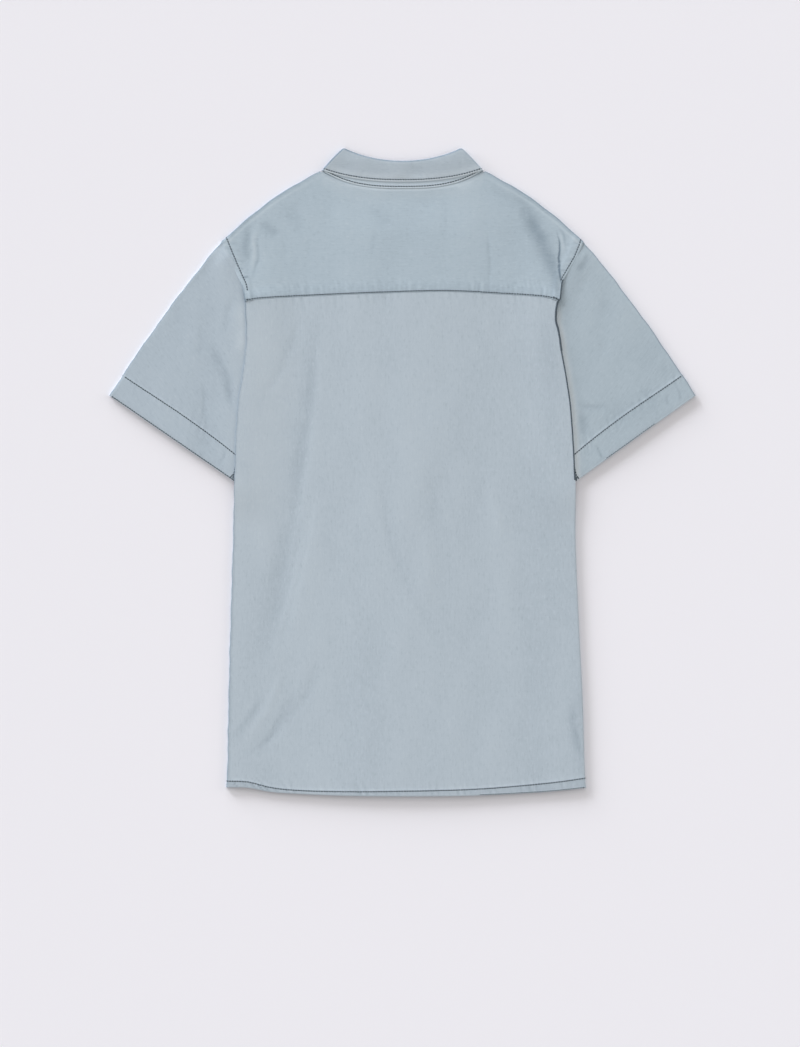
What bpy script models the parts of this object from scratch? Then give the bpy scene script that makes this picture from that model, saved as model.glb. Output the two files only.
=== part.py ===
# A short-sleeved denim shirt laid flat, face down: the back, the yoke and the collar are on top,
# the two fronts and the buttons underneath. Metres, +Z up. The collar points to +Y and the
# wearer's left is at -X. Every length below is in millimetres until a mesh is made.
import math
from collections import namedtuple

import bmesh
import bpy
from mathutils import Vector

MM = 0.001

# Cloth
WALL = 1.0               # thickness of every cloth wall
SEAM_GAP = 0.5           # space between two pieces that meet at a seam
HEM_STEP = 0.4           # how far a turned hem stands out of its panel
BODY_HEM = 10.0          # depth of the turned hem along the bottom of the back
LAP = 0.5                # how far the yoke stands above the back along their seam
LAP_DEPTH = 13.0         # seam allowance pressed up under the yoke

# Heights over the surface that the shirt lies on
BODY_HEIGHT = 4.4        # top of the back away from the button band
CENTRE_RISE = 2.3        # how much the button band lifts the back
SLEEVE_HEIGHT = 4.0
PLACKET_FLOOR = 2.3      # underside of the button band, which lies on its buttons
UNDERLAP_FLOOR = 3.6     # underside of the right front where it lies on the band
OVER_SLEEVE = 4.9        # underside of the body's turned edge where it lies on a sleeve
COLLAR_LIFT = 1.4        # underside of the fronts where they lie on the collar points
PRESSED_ON_SLEEVE = 1.2  # how much thinner the body's edge is where it lies on a sleeve
PRESSED_AT_YOKE = 0.8    # and thinner again at the yoke
YOKE_OVER_SEAM = 1.6     # how much the sleeve's seam raises the yoke's edge along the armhole
YOKE_OVER_FLAP = 1.3     # and how much more where the body's turned edge lies under it
EDGE_REACH = 42.0        # width over which the body's top eases into its edges
YOKE_EDGE_REACH = 45.0

# Body, half widths and places measured from the centre back
HEM_CENTRE_Y = -400.8
HEM_RISE = 12.0          # the hem is this much higher at the side seams
YOKE_HALF = 194.5        # half the yoke's width along its seam with the back
YOKE_HEIGHT = 140.0      # from the yoke seam up to the neck
FLAP = 15.0              # how far the back turns under below the sleeves
FLAP_ON_SLEEVE = 9.0     # the same where it lies on a sleeve
FLAP_LESS_AT_YOKE = 5.5
SHOULDER_TIP = (223.5, 285.0)
SHOULDER_BULGE = 8.0
NECK_SIDE = (100.0, 372.4)
NECK_CORNER = 101.5      # half width where the shoulders begin beside the collar
FRONT_YOKE_DEPTH = 30.0  # how far the yoke reaches down over the shoulder to the front
ARMPIT = (188.0, 95.7)
PLACKET_HALF = 16.0
PLACKET_TOP_Y = 288.6
PLACKET_LOW_Y = -399.4
UNDERLAP = 14.0          # how far the right front runs past the centre under the band

# Sleeve
CUFF_OUTER = (361.2, 95.1)
CUFF_INNER = (210.6, -10.5)
BELOW_SLEEVE_Y = -45.0   # the side has come down to the surface here
CUFF_HEM = 30.4
SLEEVE_WIDTH = 190.0     # across the flat tube, before it is laid between its two ends
SLEEVE_BULGE = 3.5
SLEEVE_GAP = 0.7         # space between the body and a sleeve at the armhole, across the shirt

# Collar
COLLAR_TOP = (74.0, 399.8)   # side end of the fold line
COLLAR_TOP_SAG = 15.2        # the fold line dips this much at the centre back
COLLAR_SIDE_BULGE = 2.5
COLLAR_FOLD = 1.8            # how far the leaf's wall turns inwards along the fold line
STAND_INSET = 1.7            # the stand lies this far inside the leaf
STAND_OVERLAP = 12.0         # its buttoned end passes the centre front by this much
COLLAR_FRONT_TOP = (6.0, 322.0)
COLLAR_POINT = (60.0, 262.0)
LEAF_LOW_Y = 358.5
STAND_LOW_Y = 350.5
LEAF_HEIGHT = 6.4
STAND_HEIGHT = 4.9
STAND_FLOOR = 2.3
NECK_INSET = 1.6             # the stand's lower edge is this much narrower than the leaf's
FRONT_NECK_DROP = 81.5

# Buttons
BUTTON_RADIUS = 5.5
BUTTON_THICKNESS = 2.0
BUTTON_DISH = 0.6
BUTTON_HOLE = 0.8
BUTTON_HOLE_OFFSET = 1.35
STAND_BUTTON_Y = 307.0
FIRST_BUTTON_Y = 222.0
BUTTON_SPACING = 94.0
PLACKET_BUTTONS = 6

# The body's outline from the yoke seam down: half its width, and how far its middle strays to +X.
Side = namedtuple("Side", "y half sway")
BODY_SIDES = [
    Side(-395, 223.4, 4.6),
    Side(-380, 221.2, 4.4),
    Side(-281, 218.6, 3.8),
    Side(-182, 214.9, 2.6),
    Side(-83, 211.4, 2.2),
    Side(-10, 210.4, 3.0),
    Side(77, 206.0, 2.4),
    Side(120, 200.0, 2.4),
    Side(157, 194.6, 1.6),
    Side(225, 194.5, 0.0),
]

# The yoke seam, as seen from above.
SeamPoint = namedtuple("SeamPoint", "x y")
YOKE_SEAM = [
    SeamPoint(-194.5, 210.8),
    SeamPoint(-176.0, 213.6),
    SeamPoint(-120.0, 216.8),
    SeamPoint(-30.0, 220.6),
    SeamPoint(55.0, 222.6),
    SeamPoint(120.0, 219.6),
    SeamPoint(176.0, 215.6),
    SeamPoint(194.5, 211.0),
]

# Armhole seams from the shoulder tip to the armpit, half width and height on the shirt.
ARMHOLE_TOP = [SHOULDER_TIP, (214, 262), (203, 240), (198.4, 228), (189.5, 205), (184.5, 170), (184, 130),
               ARMPIT]
YOKE_SIDE = [SHOULDER_TIP, (214, 262), (203, 240), (198.4, 228), (196, 219), (YOKE_HALF, 210.5)]
ARMHOLE_UNDER = [SHOULDER_TIP, (206.5, 255), (195.7, 231), (186, 190), (182.2, 151), (183.5, 120), ARMPIT]

# The largest folds: a path through three points, its half width, and its height (below 0 is a trough).
Fold = namedtuple("Fold", "start middle end width height")
FOLDS = [
    Fold((-106, 120), (-132, -80), (-180, -270), 14, -1.3),
    Fold((-70, -55), (-98, -150), (-140, -235), 17, 0.6),
    Fold((-9, -34), (6, -120), (48, -210), 15, -0.5),
    Fold((144, 328), (164, 300), (181, 272), 7, -1.5),
    Fold((190, 292), (193, 262), (193, 232), 4, -0.9),
    Fold((-176, 320), (-180, 285), (-190, 240), 6, 1.0),
    Fold((-207, 215), (-206, 180), (-206, 140), 5, 0.9),
    Fold((-222, 132), (-218, 105), (-218, 72), 8, -1.2),
    Fold((232, 70), (250, 45), (262, 20), 9, -0.9),
]

# Rows of the back from the yoke seam to the hem, as heights at the side seam.
BACK_ROWS = [211, 200, 184, 160, 130, 100, 70, 40, 12, -12, -21, -31, -44, -70, -105, -140, -175, -210, -245,
             -280, -315, -350, -378, -379, -389]

DENIM = (0.44, 0.52, 0.57)
PALE_DENIM = (0.46, 0.54, 0.59)
HORN = (0.20, 0.23, 0.26)


def smooth(low, high, value):
    share = min(max((value - low) / (high - low), 0.0), 1.0)
    return share * share * (3.0 - 2.0 * share)


def mix(start, end, share):
    return start + (end - start) * share


def mix_point(start, end, share):
    return mix(start[0], end[0], share), mix(start[1], end[1], share)


def hermite(keys, values, at):
    """A smooth curve through values at rising keys."""
    last = len(keys) - 2
    index = last
    for i in range(last + 1):
        if at <= keys[i + 1]:
            index = i
            break

    def slope(i):
        low = max(i - 1, 0)
        high = min(i + 1, len(keys) - 1)
        return (values[high] - values[low]) / (keys[high] - keys[low])

    span = keys[index + 1] - keys[index]
    t = min(max((at - keys[index]) / span, 0.0), 1.0)
    start = (1 + 2 * t) * (1 - t) ** 2 * values[index] + t * (1 - t) ** 2 * span * slope(index)
    end = t * t * (3 - 2 * t) * values[index + 1] - t * t * (1 - t) * span * slope(index + 1)
    return start + end


def read(table, key, column, at):
    return hermite([getattr(row, key) for row in table], [getattr(row, column) for row in table], at)


def along(points, share):
    """The point at a share of the length of a smooth path."""
    reach = [0.0]
    for start, end in zip(points, points[1:]):
        reach.append(reach[-1] + math.dist(start, end))
    at = share * reach[-1]
    return tuple(hermite(reach, [point[i] for point in points], at) for i in (0, 1))


def place_at(points, y):
    """The point of a path that falls from its first point to its last, at a height."""
    low, high = 0.0, 1.0
    for _ in range(24):
        middle = (low + high) / 2
        if along(points, middle)[1] > y:
            low = middle
        else:
            high = middle
    return along(points, low)


def sway(y):
    return read(BODY_SIDES, "y", "sway", y)


def side_half(y):
    return read(BODY_SIDES, "y", "half", y)


def seam_y(x):
    return read(YOKE_SEAM, "x", "y", x)


def hem_y(x):
    return HEM_CENTRE_Y + HEM_RISE * abs(x / BODY_SIDES[0].half) ** 2.6


def shoulder_y(x):
    share = (x - NECK_SIDE[0]) / (SHOULDER_TIP[0] - NECK_SIDE[0])
    return mix(NECK_SIDE[1], SHOULDER_TIP[1], share) + SHOULDER_BULGE * math.sin(math.pi * share)


def neck_y(x):
    """The stand's lower edge at the back."""
    return STAND_LOW_Y + (NECK_SIDE[1] - STAND_LOW_Y) * abs(x / NECK_SIDE[0]) ** 2.8


def front_neck(share, clearance=0.0):
    """The front neckline from the centre front, 0, to the side of the neck, 1."""
    angle = share * math.pi / 2
    half = NECK_SIDE[0] - NECK_INSET + clearance
    return half * math.sin(angle), NECK_SIDE[1] - 0.9 - (FRONT_NECK_DROP + clearance) * math.cos(angle)


def relief(x, y):
    """The height that the large folds add at a place."""
    total = 0.0
    steps = 16
    for fold in FOLDS:
        nearest, place = 1e9, 0.0
        for i in range(steps + 1):
            t = i / steps
            path = mix_point(mix_point(fold.start, fold.middle, t), mix_point(fold.middle, fold.end, t), t)
            away = math.dist(path, (x, y))
            if away < nearest:
                nearest, place = away, t
        ends = smooth(0.0, 0.25, place) * smooth(0.0, 0.25, 1.0 - place)
        total += fold.height * ends * math.exp(-(nearest / fold.width) ** 2)
    return total


def body_top(x, y):
    """The upper face of the back and the yoke away from their edges."""
    centre = 1.0 - smooth(20, 90, abs(x - sway(min(y, 225))))
    return BODY_HEIGHT + CENTRE_RISE * centre * (1.0 - smooth(290, 345, y)) + relief(x, y)


def make_cloth(name, rows, colour, up=True, closed=False):
    """A cloth wall from a lattice of outer points. A point that is None leaves its cells out."""
    bm = bmesh.new()
    verts = [[bm.verts.new(Vector(p) * MM) if p else None for p in row] for row in rows]
    for upper, lower in zip(verts, verts[1:]):
        width = len(upper)
        for i in range(width if closed else width - 1):
            j = (i + 1) % width
            corners = [upper[i], upper[j], lower[j], lower[i]]
            if all(corners):
                bm.faces.new(corners)
    bm.normal_update()
    highest = max(bm.faces, key=lambda face: face.calc_center_median().z)
    if (highest.normal.z > 0) != up:
        bmesh.ops.reverse_faces(bm, faces=bm.faces)
    mesh = bpy.data.meshes.new(name)
    bm.to_mesh(mesh)
    bm.free()
    mesh.shade_smooth()
    obj = add_object(name, mesh, colour)
    wall = obj.modifiers.new("Wall", "SOLIDIFY")
    wall.thickness = WALL * MM
    wall.offset = -1.0
    wall.use_even_offset = False
    wall.use_quality_normals = True
    return obj


def add_object(name, mesh, colour, roughness=0.85):
    material = bpy.data.materials.new(name)
    material.use_nodes = True
    shader = material.node_tree.nodes["Principled BSDF"]
    shader.inputs["Base Color"].default_value = (*colour, 1.0)
    shader.inputs["Roughness"].default_value = roughness
    shader.inputs["Metallic"].default_value = 0.0
    obj = bpy.data.objects.new(name, mesh)
    obj.data.materials.clear()
    obj.data.materials.append(material)
    bpy.context.collection.objects.link(obj)
    return obj


def arc(steps, start=-90.0, end=90.0):
    """Angles strictly between two ends, in radians."""
    return [math.radians(mix(start, end, i / steps)) for i in range(1, steps)]


def make_back():
    """One sheet whose side edges roll over and go back under."""
    flap_steps, arc_steps, top_steps = 2, 4, 22
    rows = []
    first, last = BACK_ROWS[0], BACK_ROWS[-1]
    for station in BACK_ROWS:
        share = (first - station) / (first - last)
        on_sleeve = smooth(BELOW_SLEEVE_Y, CUFF_INNER[1] - 2.5, station)
        at_yoke = smooth(165, 212, station)
        level = OVER_SLEEVE * on_sleeve
        height = BODY_HEIGHT - PRESSED_ON_SLEEVE * on_sleeve - PRESSED_AT_YOKE * at_yoke
        flap = mix(FLAP, FLAP_ON_SLEEVE, on_sleeve) - FLAP_LESS_AT_YOKE * at_yoke
        half = side_half(station)
        radius = height / 2
        hem = HEM_STEP if station <= BACK_ROWS[-1] + BODY_HEM else 0.0

        section = [(half - flap + (flap - radius) * i / flap_steps, level) for i in range(flap_steps + 1)]
        for angle in arc(arc_steps):
            x = half - radius + radius * math.cos(angle)
            section.append((x, level + radius + radius * math.sin(angle)))
        right = list(section)
        inner = half - radius
        top = [(mix(inner, -inner, i / top_steps), None) for i in range(top_steps + 1)]
        left = [(-x, z) for x, z in reversed(section)]

        row = []
        for x, z in right + top + left:
            y = mix(seam_y(min(max(x, -YOKE_HALF), YOKE_HALF)) - SEAM_GAP, hem_y(x), share)
            at = x + sway(station)
            if z is None:
                edge = 1.0 - smooth(0, EDGE_REACH, inner - abs(x))
                z = mix(body_top(at, y), level + height, edge) + hem
            row.append((at, y, z))
        rows.append(row)
    make_cloth("back", rows, DENIM)


def front_yoke_seam(half):
    """The place under the shoulder where the yoke meets a front, for a place on the shoulder line."""
    share = (half - NECK_SIDE[0]) / (SHOULDER_TIP[0] - NECK_SIDE[0])
    return half - mix(8.5, 17.0, share), shoulder_y(half) - FRONT_YOKE_DEPTH


def make_yoke():
    """A sheet from the back seam up to the neck, and over both shoulders to the front."""
    tip = SHOULDER_TIP[0]
    shoulder = [mix(tip, NECK_CORNER, i / 8) for i in range(8)]
    neck = [mix(NECK_CORNER, -NECK_CORNER, i / 14) for i in range(15)]
    tops = shoulder + neck + [-x for x in reversed(shoulder)]
    lap_share = LAP_DEPTH / YOKE_HEIGHT
    top_shares = [0.0, lap_share / 2, lap_share, lap_share + 0.01, 0.22, 0.36, 0.5, 0.64, 0.78, 0.9, 1.0]
    arc_steps, under_steps = 4, 3

    columns = []
    for x in tops:
        share = x / tip
        wraps = abs(x) >= NECK_CORNER - 0.01
        low = (share * YOKE_HALF, seam_y(share * YOKE_HALF))
        lift = COLLAR_LIFT * (1.0 - smooth(110, 150, abs(x)))
        radius = (BODY_HEIGHT - lift) / 2
        if wraps:
            slope = (shoulder_y(abs(x) + 1) - shoulder_y(abs(x) - 1)) / 2
            out = Vector((-slope, 1.0)).normalized()
            out.x *= math.copysign(1.0, x)
            line = Vector((x, shoulder_y(abs(x))))
            high = line - out * radius
        else:
            high = Vector((x, neck_y(x) - SEAM_GAP))

        if not columns:
            tip_high = high
        column = []
        for up in top_shares:
            px, py = mix_point(low, high, up)
            edge_x, edge_y = mix_point((YOKE_HALF, seam_y(YOKE_HALF)), tip_high, up)
            bow = (place_at(YOKE_SIDE, edge_y)[0] - edge_x) * abs(share) ** 4
            px += bow * math.copysign(1.0, x)
            edge = 1.0 - smooth(0, YOKE_EDGE_REACH, (1.0 - abs(share)) * YOKE_HALF)
            over_seam = YOKE_OVER_SEAM * (1.0 - smooth(0.15, 0.6, up))
            over_flap = YOKE_OVER_FLAP * (1.0 - smooth(0.0, 0.2, up))
            edge_height = BODY_HEIGHT + over_seam + over_flap
            lap = LAP if up <= lap_share else 0.0
            column.append((px, py, mix(body_top(px, py), edge_height, max(edge, smooth(0.9, 1.0, up))) + lap))
        if wraps:
            for angle in arc(arc_steps, 90.0, -90.0):
                place = line - out * radius * (1.0 - math.cos(angle))
                column.append((place.x, place.y, lift + radius + radius * math.sin(angle)))
            seam = front_yoke_seam(abs(x))
            seam = (math.copysign(seam[0], x), seam[1])
            for i in range(under_steps + 1):
                place = mix_point(line - out * radius, seam, i / under_steps)
                column.append((place[0], place[1], lift))
        else:
            column += [None] * (arc_steps + under_steps)
        columns.append(column)
    make_cloth("yoke", columns, DENIM)


def front_floor(x, y, band):
    """The underside of a front: flat on the surface, raised over the button band and the collar points."""
    centre = band * (1.0 - smooth(30, 80, abs(x - sway(min(y, 225)))))
    collar = COLLAR_LIFT * smooth(215, 250, y) * (1.0 - smooth(110, 150, abs(x)))
    return max(centre, collar)


def make_front(name, side, inner, band):
    """side is -1 or 1, inner is the half width at the centre front edge, band the height there."""
    columns = 13
    rows = []
    for y in [-389, -380, -340, -280, -220, -160, -100, -45, -12, 30, 65, 95, 120, 155, 190, 225]:
        if y < ARMPIT[1]:
            side_seam = side_half(y) - FLAP - SEAM_GAP
            outer = mix(ARMPIT[0] - SLEEVE_GAP, side_seam, smooth(ARMPIT[1], CUFF_INNER[1] - 10.0, y))
        else:
            outer = place_at(ARMHOLE_UNDER, y)[0] - SEAM_GAP
        rows.append(((inner, y), (outer, y)))
    last_y = rows[-1][0][1]
    shares = [1 / 12] * (inner < 0) + [1 / 6, 2 / 6, 3 / 6, 4 / 6, 0.76]
    neckline = [(inner, 258), (inner, 288)] + [front_neck(share, 0.8) for share in shares]
    for i, point in enumerate(neckline):
        y = mix(last_y, ARMHOLE_UNDER[1][1] - 1, (i + 1) / len(neckline))
        rows.append((point, (place_at(ARMHOLE_UNDER, y)[0] - SEAM_GAP, y)))

    lattice = []
    last_start, last_end = rows[-1]
    straight_rows = len(rows) - 1 - len(neckline)
    for index, (start, end) in enumerate(rows):
        row = []
        turn = max(index - straight_rows, 0) / len(neckline)
        for i in range(columns + 1):
            share = i / columns
            x, y = mix_point(start, end, share)
            seam = front_yoke_seam(mix(NECK_CORNER, SHOULDER_TIP[0], share))
            chord = mix_point(last_start, last_end, share)
            inside = 1.0 if 0 < i < columns else 0.0
            x += (seam[0] - chord[0]) * inside * turn ** 3
            y += (seam[1] - SEAM_GAP - chord[1]) * inside * turn ** 3
            if index == 0:
                y = hem_y(x) + 1.0
            place = side * x + sway(min(y, 225))
            row.append((place, y, front_floor(place, y, band)))
        lattice.append(row)
    make_cloth(name, lattice, PALE_DENIM, up=False)


def make_placket():
    heights = [PLACKET_LOW_Y, -330, -250, -170, -90, -10, 70, 150, 225, PLACKET_TOP_Y]
    across = [-1.0, -0.5, 0.0, 0.5, 1.0]
    rows = []
    for y in heights:
        rows.append([(sway(min(y, 225)) + PLACKET_HALF * share, y, PLACKET_FLOOR) for share in across])
    make_cloth("placket", rows, PALE_DENIM, up=False)


def make_sleeve(name, side):
    """A flattened tube from the armhole to the cuff."""
    top_steps, under_steps, arc_steps, length_steps = 11, 8, 3, 9
    outer_length = math.dist(SHOULDER_TIP, CUFF_OUTER)
    inner_length = math.dist(ARMPIT, CUFF_INNER)
    rows = []
    stations = [("hem", 0.0), ("hem", CUFF_HEM / 2), ("hem", CUFF_HEM)]
    stations += [("body", i / length_steps) for i in range(length_steps + 1)]
    for part, amount in stations:
        height = SLEEVE_HEIGHT + (HEM_STEP if part == "hem" else 0.0)
        radius = height / 2
        near, far = radius, SLEEVE_WIDTH - radius
        ring = [(mix(near, far, i / top_steps), height) for i in range(top_steps + 1)]
        for angle in arc(arc_steps, 90.0, -90.0):
            ring.append((far + radius * math.cos(angle), radius + radius * math.sin(angle)))
        ring += [(mix(far, near, i / under_steps), 0.0) for i in range(under_steps + 1)]
        for angle in arc(arc_steps):
            ring.append((near - radius * math.cos(angle), radius + radius * math.sin(angle)))
        row = []
        for reach, z in ring:
            share = reach / SLEEVE_WIDTH
            length = mix(outer_length, inner_length, share)
            if part == "hem":
                back = amount / length
            else:
                back = mix((CUFF_HEM + 1.0) / length, 1.0, amount)
            cuff = mix_point(CUFF_OUTER, CUFF_INNER, share)
            armhole = mix_point(along(ARMHOLE_UNDER, share), along(ARMHOLE_TOP, share), z / height)
            x, y = mix_point(cuff, armhole, back)
            bulge = SLEEVE_BULGE * math.sin(math.pi * back) * (1.0 - share) ** 2
            x += bulge * 0.8 + SLEEVE_GAP
            y += bulge * 0.6
            place = side * x + sway(min(y, 225)) * share
            if z == height:
                z += relief(place, y)
            row.append((place, y, z))
        rows.append(row)
    make_cloth(name, rows, PALE_DENIM, closed=True)


def collar_ring(low_z, high_z, front, back, side_line, front_starts, rows, colour, name):
    """A band round the neck, pressed flat. front, back and side_line give a column's top and low ends."""
    radius = (high_z - low_z) / 2
    front_steps, back_steps, arc_steps = 6, 14, 4
    columns = []

    def half(side, start):
        found = []
        for i in range(front_steps + 1):
            share = i / front_steps
            ends = front(share, start)
            shift = radius * share ** 4
            found.append([(side * (x - shift), y, low_z, (0.0, -1.0)) for x, y in ends])
        for angle in arc(arc_steps):
            turn = (side * math.cos(angle), math.sin(angle))
            height = low_z + radius + radius * math.sin(angle)
            inward = radius * (1.0 - math.cos(angle))
            found.append([(side * (x - inward), y, height, turn) for x, y in side_line])
        return found

    columns += half(-1, front_starts[0])
    for i in range(back_steps + 1):
        share = mix(-1.0, 1.0, i / back_steps)
        shift = radius * abs(share) ** 4 * math.copysign(1.0, share)
        columns.append([(x - shift, y, high_z, (0.0, 1.0)) for x, y in back(share)])
    columns += reversed(half(1, front_starts[1]))

    lattice = []
    for share, drop, inset in rows:
        row = []
        for top, low in columns:
            height = math.dist(top[:2], low[:2])
            at = drop / height + (1.0 - drop / height) * share
            x, y = mix_point(top[:2], low[:2], at)
            side_x = mix(COLLAR_TOP[0], NECK_SIDE[0], at)
            x += COLLAR_SIDE_BULGE * math.sin(math.pi * at) * (x / side_x) ** 5
            row.append((x - inset * top[3][0], y, top[2] - inset * top[3][1]))
        lattice.append(row)
    make_cloth(name, lattice, colour)


def make_collar():
    top_x, top_y = COLLAR_TOP

    def fold_line(share):
        return top_x * share, top_y - COLLAR_TOP_SAG * (1.0 - share * share)

    def front_fold(share, start):
        return mix(start, top_x, share), mix(COLLAR_FRONT_TOP[1], top_y, share ** 1.8)

    def leaf_front(share, start):
        return front_fold(share, start), mix_point(COLLAR_POINT, NECK_SIDE, share)

    def leaf_back(share):
        x = NECK_SIDE[0] * share
        return fold_line(share), (x, LEAF_LOW_Y + (NECK_SIDE[1] - LEAF_LOW_Y) * abs(share) ** 2.3)

    leaf_side = (COLLAR_TOP, NECK_SIDE)
    drop = COLLAR_FOLD - 0.2
    turn_over = [(0.0, 0.0, COLLAR_FOLD), (0.0, 0.0, COLLAR_FOLD / 2), (0.0, 0.5, 0.25), (0.0, drop, 0.0)]
    leaf_rows = turn_over + [(share, drop, 0.0) for share in (0.25, 0.5, 0.75, 1.0)]
    starts = (COLLAR_FRONT_TOP[0], COLLAR_FRONT_TOP[0])
    collar_ring(0.0, LEAF_HEIGHT, leaf_front, leaf_back, leaf_side, starts, leaf_rows, DENIM, "collar_leaf")

    def stand_front(share, start):
        x, y = front_fold(share, start)
        low = front_neck(share)
        low = (max(low[0], mix(start, low[0], smooth(0, 0.3, share))), low[1])
        if start < 0:
            low = (mix(start, low[0], smooth(0, 0.3, share)), low[1])
        return (x - STAND_INSET * share, y - STAND_INSET), low

    def stand_back(share):
        x, y = fold_line(share)
        low = NECK_SIDE[0] - NECK_INSET
        return (x - STAND_INSET * share, y - STAND_INSET), (low * share, neck_y(low * share))

    low_side = (NECK_SIDE[0] - NECK_INSET, neck_y(NECK_SIDE[0] - NECK_INSET))
    stand_side = ((top_x - STAND_INSET, top_y - STAND_INSET), low_side)
    stand_rows = [(share, 0.0, 0.0) for share in (0.0, 0.25, 0.5, 0.75, 1.0)]
    starts = (-STAND_OVERLAP, STAND_OVERLAP + SEAM_GAP)
    collar_ring(STAND_FLOOR, STAND_HEIGHT, stand_front, stand_back, stand_side, starts, stand_rows,
                PALE_DENIM, "collar_stand")


def make_button_mesh():
    """A dished four-hole button whose rim rests on the surface."""
    segments = 24
    profile = [
        (5.0, BUTTON_THICKNESS),
        (BUTTON_RADIUS, BUTTON_THICKNESS - 0.5),
        (BUTTON_RADIUS, 0.5),
        (5.0, 0.0),
        (4.0, 0.0),
        (3.2, BUTTON_DISH),
    ]
    bm = bmesh.new()
    rings = []
    for radius, z in profile:
        ring = []
        for i in range(segments):
            angle = 2 * math.pi * i / segments
            ring.append(bm.verts.new(Vector((radius * math.cos(angle), radius * math.sin(angle), z)) * MM))
        rings.append(ring)
    for upper, lower in zip(rings, rings[1:]):
        for i in range(segments):
            j = (i + 1) % segments
            bm.faces.new([upper[i], lower[i], lower[j], upper[j]])
    bm.faces.new(rings[0])
    bm.faces.new(list(reversed(rings[-1])))
    bmesh.ops.recalc_face_normals(bm, faces=bm.faces)
    body = bpy.data.meshes.new("button_body")
    bm.to_mesh(body)
    bm.free()

    cutter_bm = bmesh.new()
    for turn in range(4):
        angle = math.radians(45 + 90 * turn)
        offset = Vector((math.cos(angle), math.sin(angle), 0.0)) * BUTTON_HOLE_OFFSET * math.sqrt(2) * MM
        made = bmesh.ops.create_cone(cutter_bm, segments=6, radius1=BUTTON_HOLE * MM,
                                     radius2=BUTTON_HOLE * MM, depth=6 * MM, cap_ends=True)
        bmesh.ops.translate(cutter_bm, verts=made["verts"], vec=offset)
    holes = bpy.data.meshes.new("button_holes")
    cutter_bm.to_mesh(holes)
    cutter_bm.free()

    blank = bpy.data.objects.new("button_blank", body)
    cutter = bpy.data.objects.new("button_cutter", holes)
    for obj in (blank, cutter):
        bpy.context.collection.objects.link(obj)
    drill = blank.modifiers.new("Holes", "BOOLEAN")
    drill.operation = "DIFFERENCE"
    drill.object = cutter
    graph = bpy.context.evaluated_depsgraph_get()
    mesh = bpy.data.meshes.new_from_object(blank.evaluated_get(graph))
    for obj in (blank, cutter):
        bpy.data.objects.remove(obj)
    mesh.shade_smooth()
    mesh.set_sharp_from_angle(angle=math.radians(35))
    return mesh


def make_buttons():
    mesh = make_button_mesh()
    heights = [STAND_BUTTON_Y] + [FIRST_BUTTON_Y - BUTTON_SPACING * i for i in range(PLACKET_BUTTONS)]
    for number, y in enumerate(heights, start=1):
        obj = add_object(f"button_{number}", mesh.copy(), HORN, roughness=0.4)
        obj.location = (sway(min(y, 225)) * MM, y * MM, 0.0)


def make_shirt():
    for obj in list(bpy.data.objects):
        bpy.data.objects.remove(obj)
    make_back()
    make_yoke()
    make_front("front_left", -1, PLACKET_HALF + SEAM_GAP, PLACKET_FLOOR)
    make_front("front_right", 1, -UNDERLAP, UNDERLAP_FLOOR)
    make_placket()
    make_sleeve("sleeve_left", -1)
    make_sleeve("sleeve_right", 1)
    make_collar()
    make_buttons()


make_shirt()
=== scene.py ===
import math

import bpy
import numpy as np
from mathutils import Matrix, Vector
from mathutils.bvhtree import BVHTree


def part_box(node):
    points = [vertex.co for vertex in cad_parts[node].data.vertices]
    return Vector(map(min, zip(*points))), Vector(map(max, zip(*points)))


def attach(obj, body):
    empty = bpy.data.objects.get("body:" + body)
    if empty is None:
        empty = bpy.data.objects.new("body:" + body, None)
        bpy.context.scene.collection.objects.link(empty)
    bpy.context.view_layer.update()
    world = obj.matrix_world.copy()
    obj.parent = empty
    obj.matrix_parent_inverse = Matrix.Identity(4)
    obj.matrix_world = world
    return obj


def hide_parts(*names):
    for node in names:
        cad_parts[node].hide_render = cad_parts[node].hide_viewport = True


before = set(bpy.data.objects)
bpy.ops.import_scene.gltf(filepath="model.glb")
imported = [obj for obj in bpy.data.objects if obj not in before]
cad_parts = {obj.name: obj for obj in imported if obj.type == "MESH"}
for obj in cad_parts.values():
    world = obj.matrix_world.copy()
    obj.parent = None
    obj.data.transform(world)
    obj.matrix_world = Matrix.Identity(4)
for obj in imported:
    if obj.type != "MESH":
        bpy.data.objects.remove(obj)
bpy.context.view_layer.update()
print("frame loaded:", len(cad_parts), "nodes")

mm = 0.001


def fromHex(code):
    # an sRGB colour such as #AEBBC3 as the linear values that a shader reads
    parts = [int(code[i:i + 2], 16) / 255 for i in (1, 3, 5)]
    linear = [p / 12.92 if p <= 0.04045 else ((p + 0.055) / 1.055) ** 2.4 for p in parts]
    return (*linear, 1.0)


def addObject(name, data):
    thing = bpy.data.objects.new(name, data)
    bpy.context.collection.objects.link(thing)
    return thing


# A long lens looks straight down on the middle of the shirt.
viewpoint = {
    "centre": (-3.09, -63.0),   # millimetres
    "height": 5.0,              # metres
    "visibleHeight": 1.293,
    "sensor": 24.0,
}


def addCamera():
    camera = bpy.data.cameras.new("overhead")
    camera.type = "PERSP"
    camera.sensor_fit = "VERTICAL"
    camera.sensor_height = viewpoint["sensor"]
    camera.lens = viewpoint["sensor"] * viewpoint["height"] / viewpoint["visibleHeight"]
    camera.clip_end = 50.0
    stand = addObject("overhead", camera)
    x, y = viewpoint["centre"]
    stand.location = (x * mm, y * mm, viewpoint["height"])
    bpy.context.scene.camera = stand


addCamera()

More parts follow.
